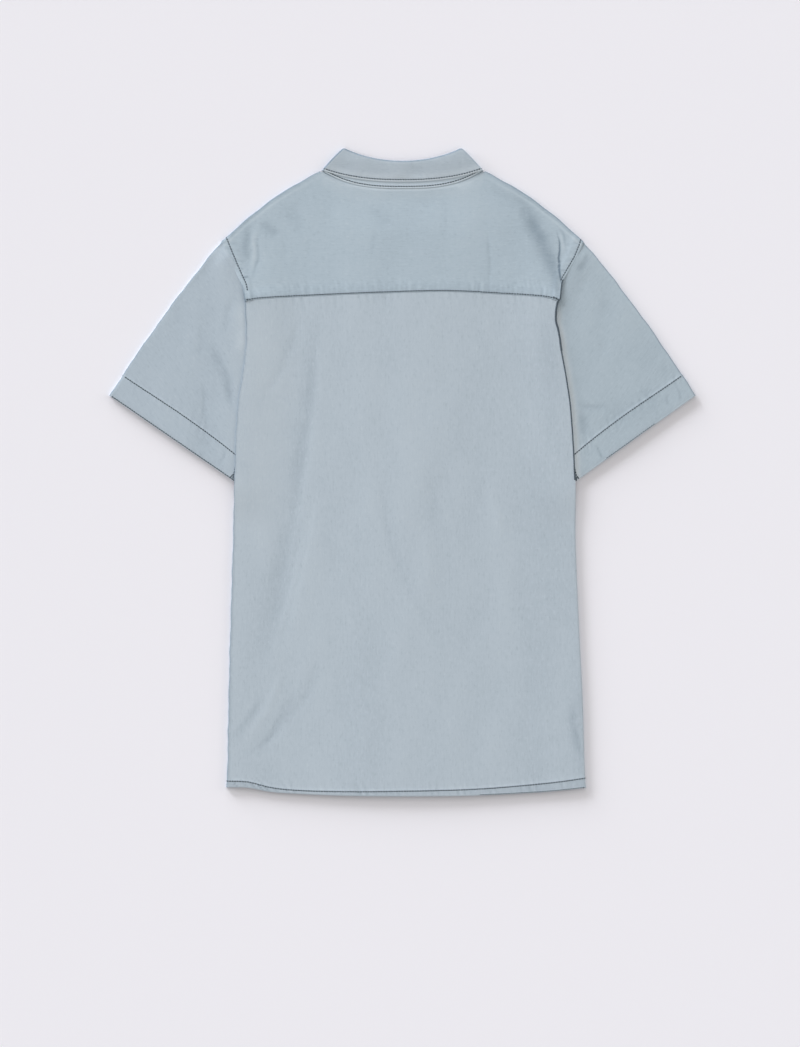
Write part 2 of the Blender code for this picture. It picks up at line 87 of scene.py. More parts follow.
# Three broad lamps stand low beyond the collar and the left sleeve, so that the thin cloth throws a long
# soft shadow to the right and below the hems. A weak one at the right keeps the left edges from floating,
# and pale walls all round fill the rest.
studio = {
    "fill": 0.55,
    "fillColour": "#FFFCF9",
    "lamps": {
        # strength, degrees across as the shirt sees it, where it stands, colour
        "main lamp": (3.9, 20.0, (-0.60, 0.78, 0.17), "#FBFBFF"),
        "left lamp": (1.5, 20.0, (-0.93, 0.36, 0.17), "#FBFBFF"),
        "top lamp": (1.2, 20.0, (-0.10, 0.99, 0.17), "#FBFBFF"),
        "weak lamp": (0.7, 30.0, (0.92, 0.35, 0.28), "#FFFCF9"),
    },
    "floorColour": "#F0F0F6",
    "floorSize": 9.0,
    "floorDrop": 0.05 * mm,
}


def addStudio():
    scene = bpy.context.scene
    scene.view_settings.view_transform = "Standard"
    scene.world = bpy.data.worlds.new("pale walls")
    scene.world.use_nodes = True
    walls = scene.world.node_tree.nodes["Background"]
    walls.inputs["Color"].default_value = fromHex(studio["fillColour"])
    walls.inputs["Strength"].default_value = studio["fill"]
    for name, (strength, softness, place, colour) in studio["lamps"].items():
        lamp = bpy.data.lights.new(name, "SUN")
        lamp.energy = strength
        lamp.color = fromHex(colour)[:3]
        lamp.angle = math.radians(softness)
        addObject(name, lamp).rotation_euler = Vector(place).to_track_quat("Z", "Y").to_euler()


addStudio()
print("camera and light ready")


def addNode(tree, kind, settings=None, values=None, links=None):
    # one shader node, its own settings, its constant sockets and what feeds it
    node = tree.nodes.new(kind)
    for key, value in (settings or {}).items():
        setattr(node, key, value)
    for socket, value in (values or {}).items():
        node.inputs[socket].default_value = value
    for socket, source in (links or {}).items():
        tree.links.new(source, node.inputs[socket])
    return node


def newMaterial(name, constants):
    material = bpy.data.materials.new(name)
    material.use_nodes = True
    shader = material.node_tree.nodes["Principled BSDF"]
    for socket, value in constants.items():
        shader.inputs[socket].default_value = value
    return material, material.node_tree, shader


def clothSpace(tree, grainTurn, lengths, offset=0.0):
    # places on the cloth, turned so that y runs along the warp, in units of a grain's lengths across and
    # along it, which are given in millimetres
    place = addNode(tree, "ShaderNodeTexCoord")
    turned = addNode(tree, "ShaderNodeMapping", {"vector_type": "POINT"},
                     {"Rotation": (0.0, 0.0, math.radians(grainTurn)), "Scale": (1 / mm, 1 / mm, 1 / mm)},
                     {"Vector": place.outputs["Object"]})
    across, along = lengths
    scaled = addNode(tree, "ShaderNodeMapping", {"vector_type": "POINT"},
                     {"Location": (offset, offset * 0.7, 0.0), "Scale": (1 / across, 1 / along, 0.02)},
                     {"Vector": turned.outputs["Vector"]})
    return scaled.outputs["Vector"]


# Cotton denim, stone washed: indigo warp over a white weft, so the face is a pale blue grey. The wash
# has taken most dye off the raised places and left it in the seams' hollows. The wear tone on each piece
# follows that in part. In part it is painted light and shade: darker in creases, in hollows, by edges and on
# folds that face the lamps, and paler on raised places and where shadows fall.
denim = {
    # for each part its washed face, how far its warp is turned, and a shift of its uneven places
    "parts": {
        "body": ("#B3C0CA", 0.0, 0.0),
        "yoke": ("#ADBDC8", 90.0, 40.0),
        "left sleeve": ("#AFBDC8", -35.0, 80.0),
        # the right sleeve is set darker than the left as painted shade, where the real one lies tilted away
        # from the light
        "right sleeve": ("#ABBAC4", 35.0, 120.0),
        "fronts": ("#B3C0CA", 0.0, 200.0),
        "collar": ("#B0BDC7", 90.0, 160.0),
        # the stand is set paler as painted light, against the shadow that the collar leaf throws on it
        "stand": ("#C0D0DC", 90.0, 240.0),
    },
    "faded": "#CFD9DF",
    "indigo": "#6D7E8C",
    "wearAndLightReach": 0.55,
    # uneven places in the weave: size across and along the warp, how strongly they show, and the share
    # of the cloth they leave alone, from 0 to 1
    "unevenness": {
        "slub": (1.7, 26.0, 0.045, 0.0),
        "weft": (18.0, 1.7, 0.022, 0.0),
        "wash": (34.0, 90.0, 0.030, 0.0),
        "mottle": (5.0, 9.0, 0.040, 0.0),
        "pale flecks": (2.4, 6.5, 0.16, 0.6),
        "dark flecks": (2.2, 6.0, -0.15, 0.6),
    },
    "shift": 13.7,                  # keeps the kinds of unevenness from lying on each other
    "twillPitch": 1.3,              # the real 0.6 mm wale drawn twice as coarse, so that it still shows
    "bandScale": 0.314,             # gives one wale for each pitch
    "twillTurn": 27.0,
    "twillDepth": 0.03,
    "yarnSize": (1.1, 9.0),
    "yarnDepth": 0.05,
    # short fibres standing off the face catch the light at the edges, which is the sheen
    "shader": {"Roughness": 0.88, "Metallic": 0.0, "IOR": 1.5, "Specular IOR Level": 0.2,
               "Sheen Weight": 0.12, "Sheen Roughness": 0.6},
}


def washedDenim(part, colour, grainTurn, offset):
    material, tree, cloth = newMaterial("stone washed denim, " + part, denim["shader"])
    # the wear attribute: real wear of the washed denim mixed with painted light and painted shade
    wearAndLightAttribute = addNode(tree, "ShaderNodeAttribute", {"attribute_name": "wearAndPaintedLight"})
    tone = addNode(tree, "ShaderNodeMath", {"operation": "MULTIPLY"}, {1: denim["wearAndLightReach"]},
                   {0: wearAndLightAttribute.outputs["Fac"]})
    for across, along, strength, alone in denim["unevenness"].values():
        offset += denim["shift"]
        grain = addNode(tree, "ShaderNodeTexNoise", None, {"Scale": 1.0, "Detail": 2.0, "Roughness": 0.55},
                        {"Vector": clothSpace(tree, grainTurn, (across, along), offset)})
        spread = addNode(tree, "ShaderNodeMapRange", None,
                         {"From Min": 0.25 + 0.5 * alone, "From Max": 0.75,
                          "To Min": -strength if alone == 0 else 0.0, "To Max": strength},
                         {"Value": grain.outputs["Fac"]})
        tone = addNode(tree, "ShaderNodeMath", {"operation": "ADD"}, None,
                       {0: tone.outputs["Value"], 1: spread.outputs["Result"]})

    # -1 is full indigo, 0 the washed face, 1 fully faded
    place = addNode(tree, "ShaderNodeMapRange", None, {"From Min": -1.0, "From Max": 1.0},
                    {"Value": tone.outputs["Value"]})
    ramp = addNode(tree, "ShaderNodeValToRGB", None, None, {"Fac": place.outputs["Result"]})
    stops = ramp.color_ramp.elements
    stops[0].color = fromHex(denim["indigo"])
    stops[1].color = fromHex(denim["faded"])
    stops.new(0.5).color = fromHex(colour)
    tree.links.new(ramp.outputs["Color"], cloth.inputs["Base Color"])

    # the twill's diagonal wales and the thicker yarns, as relief
    pitch = denim["twillPitch"]
    wales = addNode(tree, "ShaderNodeTexWave", {"wave_type": "BANDS", "bands_direction": "X"},
                    {"Scale": denim["bandScale"], "Distortion": 0.6, "Detail": 1.0, "Detail Scale": 1.0},
                    {"Vector": clothSpace(tree, grainTurn + denim["twillTurn"], (pitch, pitch))})
    yarns = addNode(tree, "ShaderNodeTexNoise", None, {"Scale": 1.0, "Detail": 2.0, "Roughness": 0.6},
                    {"Vector": clothSpace(tree, grainTurn, denim["yarnSize"], offset + 5.0)})
    first = addNode(tree, "ShaderNodeBump", None, {"Strength": 1.0, "Distance": denim["twillDepth"] * mm},
                    {"Height": wales.outputs["Fac"]})
    second = addNode(tree, "ShaderNodeBump", None, {"Strength": 1.0, "Distance": denim["yarnDepth"] * mm},
                     {"Height": yarns.outputs["Fac"], "Normal": first.outputs["Normal"]})
    tree.links.new(second.outputs["Normal"], cloth.inputs["Normal"])
    return material


# Spun polyester thread, dyed slate and a little glossier than the cloth, its colour set darker than the
# thread alone as painted shade of the groove it lies in.
spunThread = {
    "colours": ("#33404B", "#46545F"),
    "between": (0.35, 0.65),
    "streak": (2.4, 2.4),
    "turn": 0.0,
    "detail": 1.0,
    "uneven": 0.5,
    "offset": 3.0,
    "shader": {"Roughness": 0.6, "Metallic": 0.0, "IOR": 1.58},
}

# Cast polyester resin, tumbled to a soft gloss, with cloudy dark streaks like horn.
castResin = {
    "colours": ("#33393F", "#5C656D"),
    "between": (0.4, 0.72),
    "streak": (2.2, 7.0),
    "turn": 20.0,
    "detail": 3.0,
    "uneven": 0.55,
    "offset": 8.0,
    "shader": {"Roughness": 0.34, "Metallic": 0.0, "IOR": 1.54},
}


def streaked(name, look):
    # two tones that run into each other
    material, tree, shader = newMaterial(name, look["shader"])
    streaks = addNode(tree, "ShaderNodeTexNoise", None,
                      {"Scale": 1.0, "Detail": look["detail"], "Roughness": look["uneven"]},
                      {"Vector": clothSpace(tree, look["turn"], look["streak"], look["offset"])})
    ramp = addNode(tree, "ShaderNodeValToRGB", None, None, {"Fac": streaks.outputs["Fac"]})
    for stop, at, colour in zip(ramp.color_ramp.elements, look["between"], look["colours"]):
        stop.position = at
        stop.color = fromHex(colour)
    tree.links.new(ramp.outputs["Color"], shader.inputs["Base Color"])
    return material


def addFloor():
    # matt background paper, with hardly any tone of its own
    paper, _, _ = newMaterial("matt background paper", {
        "Base Color": fromHex(studio["floorColour"]), "Roughness": 0.95, "Metallic": 0.0, "IOR": 1.5,
        "Specular IOR Level": 0.1})
    half = studio["floorSize"] / 2
    mesh = bpy.data.meshes.new("floor")
    mesh.from_pydata([(-half, -half, 0), (half, -half, 0), (half, half, 0), (-half, half, 0)], [],
                     [(0, 1, 2, 3)])
    mesh.materials.append(paper)
    floor = addObject("floor", mesh)
    floor.location.z = -studio["floorDrop"]


addFloor()
cloths = {part: washedDenim(part, *look) for part, look in denim["parts"].items()}
threadMaterial = streaked("spun polyester thread", spunThread)
resinMaterial = streaked("cast polyester resin", castResin)
print("materials ready")


def ease(low, high, value):
    share = np.clip((value - low) / (high - low), 0.0, 1.0)
    return share * share * (3.0 - 2.0 * share)


def fade(low, high, value):
    return 1.0 - ease(low, high, value)


def hump(value, centre, wide):
    return np.exp(-((value - centre) / wide) ** 2)


def blend(start, end, share):
    return start + (end - start) * share


def throughPoints(keys, values, at):
    # a smooth curve through values at rising keys, for one place or many
    keys, values = np.asarray(keys, float), np.asarray(values, float)
    at = np.asarray(at, float)
    slopes = np.empty(len(keys))
    slopes[1:-1] = (values[2:] - values[:-2]) / (keys[2:] - keys[:-2])
    slopes[0] = (values[1] - values[0]) / (keys[1] - keys[0])
    slopes[-1] = (values[-1] - values[-2]) / (keys[-1] - keys[-2])
    i = np.clip(np.searchsorted(keys, at) - 1, 0, len(keys) - 2)
    span = keys[i + 1] - keys[i]
    t = np.clip((at - keys[i]) / span, 0.0, 1.0)
    low = (1 + 2 * t) * (1 - t) ** 2 * values[i] + t * (1 - t) ** 2 * span * slopes[i]
    return low + t * t * (3 - 2 * t) * values[i + 1] - t * t * (1 - t) * span * slopes[i + 1]


def pathReach(points):
    points = np.asarray(points, float)
    return np.concatenate([[0.0], np.cumsum(np.linalg.norm(np.diff(points, axis=0), axis=1))])


def pathPoint(points, share):
    # places at shares of the length of a smooth path
    reach = pathReach(points)
    at = np.asarray(share, float) * reach[-1]
    return np.stack([throughPoints(reach, [p[k] for p in points], at) for k in (0, 1)], axis=-1)


def pathAtHeight(points, y):
    # x on a falling path at given heights
    shares = np.linspace(0.0, 1.0, 801)
    line = pathPoint(points, shares)
    return np.interp(y, line[::-1, 1], line[::-1, 0])


def waves(at, seed, lengths, sizes):
    # a sum of sines of uneven lengths, the same on every run
    rng = np.random.default_rng(seed)
    total = np.zeros_like(np.asarray(at, float))
    for length, size in zip(lengths, sizes):
        stretch = 1.0 + 0.25 * rng.uniform(-1, 1)
        total += size * np.sin(2 * math.pi * at / (length * stretch) + rng.uniform(0, 6.28))
    return total


# How the shirt lies and how it is cut, in millimetres. Half widths are from the centre back, +y is
# towards the collar, and z is the height over the floor.
shirt = {
    "ply": 0.6,             # one layer of washed denim
    "bodyTop": 4.4,         # upper face of the back
    "bandRise": 1.1,        # the buttoned band underneath lifts the centre back
    "bandAcross": (8, 150),         # the lift fades between these distances from the centre,
    "bandUp": (290, 345),           # and between these heights
    "overSleeve": 4.3,      # underside of the turned side edge where it lies on a sleeve
    "flap": 15.0,           # how far the back turns under below the sleeves
    "flapOnSleeve": 9.0,
    "bandFloor": 2.3,       # underside of the button band
    "underlapFloor": 3.6,   # underside of the right front on the band
    "collarLift": 1.4,      # the fronts and shoulders are raised over the collar's points
    "collarAcross": (110, 150),     # the lift fades between these half widths
    "hemRise": 12.0,        # the hem curves up so far at the sides
    "hemCurve": 2.6,
    # the hem is drawn up a little in the middle, and most by the left corner: how far, and where across
    "drawnMiddle": (1.1, 120, 215),
    "drawnCorner": (3.2, -196, 20),
    "yokeHalf": 194.5,
    "shoulderTip": (223.5, 285.0),
    "shoulderBulge": 8.0,
    "neckSide": (100.0, 372.4),
    "neckCorner": 101.5,    # half width where the shoulders begin beside the collar
    "sidesTop": 225.0,      # the sides are drawn up to this height
    "seamGap": 0.3,         # between two pieces that meet at a seam
    "neckInset": 1.6,       # how far inside the neck's side the stand's lower edge lies
    "edgeReach": 70.0,      # width over which the back and the yoke ease into their edges
    "armpit": (188.0, 95.7),
    "bandHalf": 16.0,
    "groove": 0.42,         # how far a line of stitches on the floor draws the cloth up
    "swell": ((110, 62, 34), (0.12, 0.06, 0.022)),      # uneven places of the back: lengths and heights
    "swellLightAndWear": 0.4,        # the higher a place, the paler: partly rubbed, partly painted light
    "foldSquare": 0.4,      # 1 would make the folds half round, and less makes them flatter on top
}
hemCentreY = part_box("back")[0][1] / mm
sideLine = {
    "y": [-395, -380, -281, -182, -83, -10, 77, 120, 157, 225],
    "half": [223.4, 221.2, 218.6, 214.9, 211.4, 210.4, 206.0, 200.0, 194.6, 194.5],
    "sway": [4.6, 4.4, 3.8, 2.6, 2.2, 3.0, 2.4, 2.4, 1.6, 0.0],
}
yokeSeam = {
    "x": [-194.5, -176.0, -120.0, -30.0, 55.0, 120.0, 176.0, 194.5],
    "y": [210.8, 213.6, 216.8, 220.6, 222.6, 219.6, 215.6, 211.0],
}
armholeTop = [shirt["shoulderTip"], (214, 262), (203, 240), (198.4, 228), (189.5, 205), (184.5, 170),
              (184, 130), shirt["armpit"]]
armholeUnder = [shirt["shoulderTip"], (206.5, 255), (195.7, 231), (186, 190), (182.2, 151), (183.5, 120),
                shirt["armpit"]]
yokeLeft = [shirt["shoulderTip"], (213, 262), (203, 241), (197.6, 230), (195.8, 219),
            (shirt["yokeHalf"], 210.5)]
yokeRight = [shirt["shoulderTip"], (220.2, 276), (214.8, 264), (204.6, 247), (198.2, 236), (196.6, 228),
             (195.8, 219), (shirt["yokeHalf"], 210.5)]


def swayAt(y):
    return throughPoints(sideLine["y"], sideLine["sway"], np.minimum(y, shirt["sidesTop"]))


def halfAt(y):
    return throughPoints(sideLine["y"], sideLine["half"], y)


def yokeSeamY(x):
    return throughPoints(yokeSeam["x"], yokeSeam["y"], np.clip(x, -shirt["yokeHalf"], shirt["yokeHalf"]))


def hemY(x):
    (far, start, end), (cornerFar, *corner) = shirt["drawnMiddle"], shirt["drawnCorner"]
    drawnUp = far * fade(start, end, np.abs(x)) + cornerFar * hump(x, *corner)
    rise = shirt["hemRise"] * np.abs(x / sideLine["half"][0]) ** shirt["hemCurve"]
    return hemCentreY + rise + drawnUp


def shoulderY(x):
    (neckX, neckTop), (tipX, tipY) = shirt["neckSide"], shirt["shoulderTip"]
    share = (x - neckX) / (tipX - neckX)
    return blend(neckTop, tipY, share) + shirt["shoulderBulge"] * np.sin(math.pi * share)


# Creases as the cloth lies now, in millimetres: a path, the half widths of its two flanks (first the one
# on the left of the path's direction), the height, which is below 0 for a trough, and the tone: below 0
# it paints shade that darkens the crease, above 0 it paints light that makes it paler, partly following
# real wear of the washed denim.
creases = [
    # the long fall down the back, its crisp right flank and the broad rise beside it
    ([(-104, 213), (-111, 124), (-123, 28), (-138, -66), (-155, -153), (-171, -225), (-183, -287)], 8, 17,
     -0.55, -0.19),
    ([(-102, 250), (-112, 110), (-124, 20), (-141, -80)], 7, 12, 0, -0.2),
    ([(-119, -40), (-128, -90), (-141, -145), (-161, -213)], 2.6, 6, -0.22, -0.08),
    ([(-99, -9), (-112, -83), (-127, -157), (-144, -219)], 20, 5, 0.3, 0.05),
    # where it turns to the side low down, and the fall that joins it
    ([(-181, -266), (-172, -281), (-186, -303), (-203, -328), (-214, -350)], 4, 5, -0.25, -0.16),
    ([(-99, -207), (-117, -269), (-139, -298), (-164, -327), (-193, -345)], 8, 5, -0.2, -0.13),
    ([(-145, -232), (-161, -281), (-181, -316), (-201, -339)], 5, 5, 0.28, 0.08),
    ([(-128, -262), (-140, -283), (-153, -307), (-163, -326), (-182, -342), (-206, -349)],
     5, 4.5, -0.24, -0.24),
    ([(-177, -262), (-180, -282), (-185, -297), (-196, -308), (-206, -322), (-212, -338)],
     3, 2.4, -0.2, -0.25),
    # the falls down the middle
    ([(-30, 3), (-18, -71), (-3, -120), (22, -172), (46, -219), (65, -254)], 13, 4, -0.34, -0.13),
    ([(29, 6), (44, -49), (61, -93)], 3, 8, -0.18, -0.08),
    ([(27, -59), (31, -96), (38, -139)], 6, 6, 0.14, 0.06),
    ([(106, 9), (113, -34), (128, -90)], 4, 4, 0.2, 0.08),
    ([(93, -9), (103, -59)], 5, 5, -0.1, -0.05),
    ([(-59, -65), (-56, -108)], 2.2, 2.2, -0.08, -0.06),
    # under the yoke seam
    ([(101, 207), (111, 170), (123, 127)], 4, 5, 0.18, 0.08),
    ([(88, 201), (98, 151)], 5, 5, -0.1, -0.05),
    ([(-122, 213), (-132, 170), (-151, 124), (-174, 87), (-188, 50)], 5, 6, -0.25, -0.1),
    ([(-181, 94), (-144, 104)], 5, 5, 0.15, 0.06),
    ([(-101, 191), (-101, 65)], 2.4, 2.4, 0.08, 0.05),
    ([(-174, 207), (-178, 164), (-174, 124)], 8, 7, 0.16, 0.05),
    # where the cloth as a whole is paler or darker, and along the two sides; the pale band down the left side
    # and the dark one down the right are painted light and shade against how the lamps light the edges
    ([(-178, 260), (-176, 60), (-182, -160)], 32, 32, 0, 0.24),
    ([(-26, 160), (-26, -20)], 14, 14, 0, 0.12),
    ([(172, 420), (172, -560)], 38, 38, 0, -0.14),
    ([(-46, -160), (-46, -470)], 22, 22, 0, -0.15),
    ([(-208, 13), (-197, 10), (-181, 3)], 2.6, 3, -0.2, -0.16),
    ([(209, -276), (211, -303), (215, -328), (227, -360)], 2.5, 7, -0.25, -0.42),
    ([(222, -235), (225, -410)], 13, 13, 0, -0.2),
    ([(176, -324), (188, -345)], 12, 12, -0.2, -0.06),
    ([(190, -213), (206, -214)], 1.6, 1.6, -0.14, -0.14),
    ([(212, -22), (216, -108), (219, -207)], 9, 9, -0.2, -0.08),
    ([(185, 127), (190, 77), (195, 28)], 9, 9, 0.2, 0.05),
    ([(178, 214), (184, 110), (192, 10)], 14, 14, 0, -0.14),
    ([(-204, 8), (-206, -40), (-208, -80)], 12, 12, 0, 0.2),
    ([(207, 2), (209, -44), (211, -84)], 12, 12, 0, 0.12),
    # the left shoulder: a ridge by the armhole, with a sharp dip beside it and soft ones further in
    ([(-176, 306), (-183, 290), (-183, 268), (-184, 252), (-182, 244)], 3, 3, 0.4, 0.45),
    ([(-171, 300), (-177, 290), (-179, 278), (-178, 264), (-182, 250), (-190, 233)], 1.5, 2.4, -0.36, -0.5),
    ([(-180, 308), (-168, 304), (-150, 292)], 5, 9, -0.3, -0.45),
    ([(-150, 330), (-132, 312), (-126, 288)], 8, 8, -0.2, -0.22),
    ([(-149, 302), (-143, 260)], 4, 3, -0.14, -0.08),
    ([(-119, 292), (-113, 260)], 3, 3, -0.12, -0.08),
    ([(-190, 312), (-193, 280), (-191, 250)], 5, 5, -0.3, -0.5),
    ([(-202, 252), (-195, 251)], 1.3, 1.3, -0.2, -0.7),
    ([(-198, 240), (-190, 242)], 1.3, 1.3, -0.2, -1.1),
    # the middle of the yoke
    ([(-43, 332), (-28, 314), (-5, 307)], 8, 8, -0.2, -0.18),
    ([(-30, 312), (-36, 285), (-40, 255)], 3, 3, -0.1, -0.12),
    ([(49, 350), (53, 318), (52, 280)], 2.5, 4, -0.12, -0.12),
    ([(12, 333), (46, 329)], 6, 6, -0.14, -0.06),
    ([(-18, 339), (27, 338)], 1.3, 1.3, -0.06, -0.1),
    ([(103, 302), (107, 275), (108, 248), (106, 225)], 2.6, 1.8, -0.28, -0.13),
    ([(171, 260), (177, 235)], 5, 5, 0.2, 0.08),
    # the right shoulder: a deep diagonal dip, and what hangs from it to the armhole
    ([(103, 354), (117, 344), (130, 337)], 6, 5, -0.25, -0.13),
    ([(120, 341), (145, 327)], 8, 8, -0.2, -0.1),
    ([(138, 346), (154, 320), (166, 297), (176, 276), (184, 256), (190, 216)], 9, 10, -1.1, -0.85),
    # its crevice, painted dark as shade
    ([(190.5, 302), (192.7, 287), (193.9, 272), (192.7, 256), (193.3, 249), (196, 236), (196, 222)],
     1.1, 1.1, -0.35, -2.2),
    ([(192, 300), (197, 288), (197, 268)], 2.0, 2.0, 0.4, 0.4),
    ([(190, 304), (199, 292), (202, 278)], 1.6, 1.6, -0.3, -0.5),
    ([(191, 254), (190, 236), (190, 218)], 5, 5, -0.3, -0.55),
    ([(194, 250), (201, 249)], 1.3, 1.3, -0.2, -0.6),
    # the left sleeve
    ([(-198, 224), (-198, 176), (-199, 130)], 6, 8, 0.3, 0.42),
    ([(-240, 166), (-224, 133), (-213, 104), (-209, 62)], 6, 7, -0.5, -0.42),
    ([(-216, 112), (-212, 80)], 3, 3, -0.2, -0.14),
    ([(-247, 118), (-244, 86), (-244, 52)], 3, 3, -0.2, -0.2),
    ([(-250, 188), (-248, 162), (-251, 136)], 3, 4, -0.1, -0.12),
    ([(-280, 213), (-272, 157), (-260, 127)], 7, 7, -0.2, -0.07),
    ([(-233, 272), (-229, 260)], 3, 3, -0.18, -0.09),
    ([(-208, 225), (-214, 195), (-220, 166)], 4, 5, -0.25, -0.11),
    ([(-255, 178), (-249, 151)], 4, 4, 0.1, 0.07),
    ([(-245, 30), (-238, 39)], 1.6, 1.6, -0.12, -0.12),
    ([(-229, 4), (-221, 18), (-217, 34)], 2.0, 2.0, -0.15, -0.3),
    # the right sleeve
    ([(229, 274), (224, 257), (214, 243)], 3, 4, -0.36, -0.45),
    ([(244, 213), (259, 186)], 8, 8, -0.2, -0.08),
    ([(251, 170), (246, 139)], 6, 5, -0.2, -0.09),
    ([(318, 136), (328, 112)], 6, 6, -0.2, -0.11),
    ([(209, 85), (232, 81), (255, 82)], 3, 4, -0.2, -0.3),
    ([(219, 78), (226, 40)], 6, 5, -0.26, -0.35),
    ([(237, 35), (248, 14)], 1.8, 1.4, -0.22, -0.6),
    ([(324, 97), (329, 82)], 1.6, 1.6, -0.12, -0.45),
    ([(337, 106), (342, 96), (346, 86)], 1.6, 1.6, -0.12, -0.45),
    ([(293, 176), (355, 90)], 28, 28, -0.1, -0.12),
    ([(232, 60), (285, 78), (330, 110)], 22, 22, 0, -0.22),
    # the collar
    ([(-71, 388), (-70, 371)], 3, 3, -0.1, -0.1),
    ([(73, 398), (88, 379)], 8, 8, -0.2, -0.14),
    ([(46, 386), (61, 388), (73, 382)], 4, 4, 0.12, 0.06),
]

# The same for what lies underneath, where a crease can only lift the cloth off the floor.
underCreases = [
    ([(-150, 170), (-128, 60), (-132, -60), (-108, -190)], 13, 9, 0.8, 0.12),
    ([(-70, 120), (-92, 20), (-84, -90)], 8, 12, 0.6, 0.08),
    ([(-176, -120), (-140, -200), (-96, -330)], 10, 14, 0.7, 0.10),
    ([(72, 190), (96, 80), (84, -40), (112, -150)], 9, 13, 0.8, 0.12),
    ([(160, 60), (142, -60), (158, -180)], 14, 9, 0.6, 0.08),
    ([(60, -160), (86, -250), (74, -350)], 10, 10, 0.5, 0.08),
    ([(190, -230), (150, -290), (120, -360)], 8, 12, 0.5, 0.08),
    ([(-300, 150), (-262, 110), (-226, 96)], 9, 7, 0.6, 0.10),
    ([(-238, 226), (-246, 160), (-276, 90)], 10, 7, 0.5, 0.08),
    ([(302, 156), (268, 118), (222, 84)], 7, 10, 0.6, 0.10),
    ([(236, 240), (252, 176), (300, 120)], 8, 9, 0.5, 0.08),
]


def nearestOn(line, x, y):
    # for each place: how far the line is, where along it from 0 to 1, and which side of it the place is
    nearest = np.full(np.shape(x), 1e9)
    along, side = np.zeros(np.shape(x)), np.zeros(np.shape(x))
    steps = len(line) - 1
    for i in range(steps):
        startX, startY = line[i]
        dx, dy = line[i + 1] - line[i]
        t = np.clip(((x - startX) * dx + (y - startY) * dy) / (dx * dx + dy * dy), 0, 1)
        offX, offY = x - startX - t * dx, y - startY - t * dy
        away = np.hypot(offX, offY)
        closer = away < nearest
        nearest = np.where(closer, away, nearest)
        along = np.where(closer, (i + t) / steps, along)
        side = np.where(closer, np.sign(dx * offY - dy * offX), side)
    return nearest, along, side


creaseLook = {
    "lift": 0.62,           # every height in the two lists is taken this many times
    "ends": 0.34,           # share of a crease over which each end fades
    "waver": ((29, 13), (0.7, 0.3)),        # to either side: lengths and sizes
    "uneven": ((41, 17), (0.08, 0.05)),     # in strength
}


def creasesAt(x, y, among):
    # how high the creases lift the cloth at each place, and how pale or dark their painted light and shade
    # make it
    look = creaseLook
    rise, lightAndWear = np.zeros(np.shape(x)), np.zeros(np.shape(x))
    for number, (path, leftWide, rightWide, high, kept) in enumerate(among):
        line = pathPoint(path, np.linspace(0, 1, 18))
        line[:, 0] += waves(pathReach(line), 200 + number, *look["waver"])
        nearest, place, side = nearestOn(line, x, y)
        # it narrows and fades towards both ends, and is never quite even between them
        ends = ease(0, look["ends"], place) * ease(0, look["ends"], 1 - place)
        wide = np.where(side > 0, leftWide, rightWide) * (0.6 + 0.4 * ends)
        uneven = 1 + waves(place * pathReach(line)[-1], 300 + number, *look["uneven"])
        shape = ends * uneven * hump(nearest, 0, wide)
        rise += look["lift"] * high * shape
        # painted shade along troughs and dark bands, painted light along ridges and pale bands
        lightAndWear += kept * shape
    return rise, lightAndWear


def rumple(x, y, seed, lengths, sizes):
    # broad uneven swells of cloth that has been smoothed flat by hand, longer down the cloth than across
    rng = np.random.default_rng(seed)
    total = np.zeros(np.shape(x))
    for length, size in zip(lengths, sizes):
        for _ in range(4):
            turn = rng.uniform(-0.5, 0.5)
            reach = length * rng.uniform(0.75, 1.3)
            along = x * math.cos(turn) + 0.3 * y * math.sin(turn)
            bend = 0.12 * length * np.sin(2 * math.pi * y / (2.3 * reach) + rng.uniform(0, 6.28))
            total += 0.5 * size * np.sin(2 * math.pi * (along + bend) / reach + rng.uniform(0, 6.28))
    return total


def bodyTopAt(x, y):
    centre = fade(*shirt["bandAcross"], np.abs(x - swayAt(y)))
    flat = shirt["bodyTop"] + shirt["bandRise"] * centre * fade(*shirt["bandUp"], y)
    rise, lightAndWear = creasesAt(x, y, creases)
    swell = rumple(x, y, 5, *shirt["swell"])
    return flat + rise + swell, lightAndWear + shirt["swellLightAndWear"] * swell


def addPiece(name, points, faces, material, softEdge=60):
    # edges that bend by more degrees than softEdge stay sharp
    mesh = bpy.data.meshes.new(name)
    mesh.from_pydata(points * mm, [], faces)
    mesh.materials.append(material)
    mesh.shade_smooth()
    if softEdge:
        mesh.set_sharp_from_angle(angle=math.radians(softEdge))
    piece = addObject(name, mesh)
    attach(piece, "root")
    return piece


# For each cloth piece, the places of its outer face, the way out of it and its measures, so that seams
# can be sewn on it.
surfaces = {}


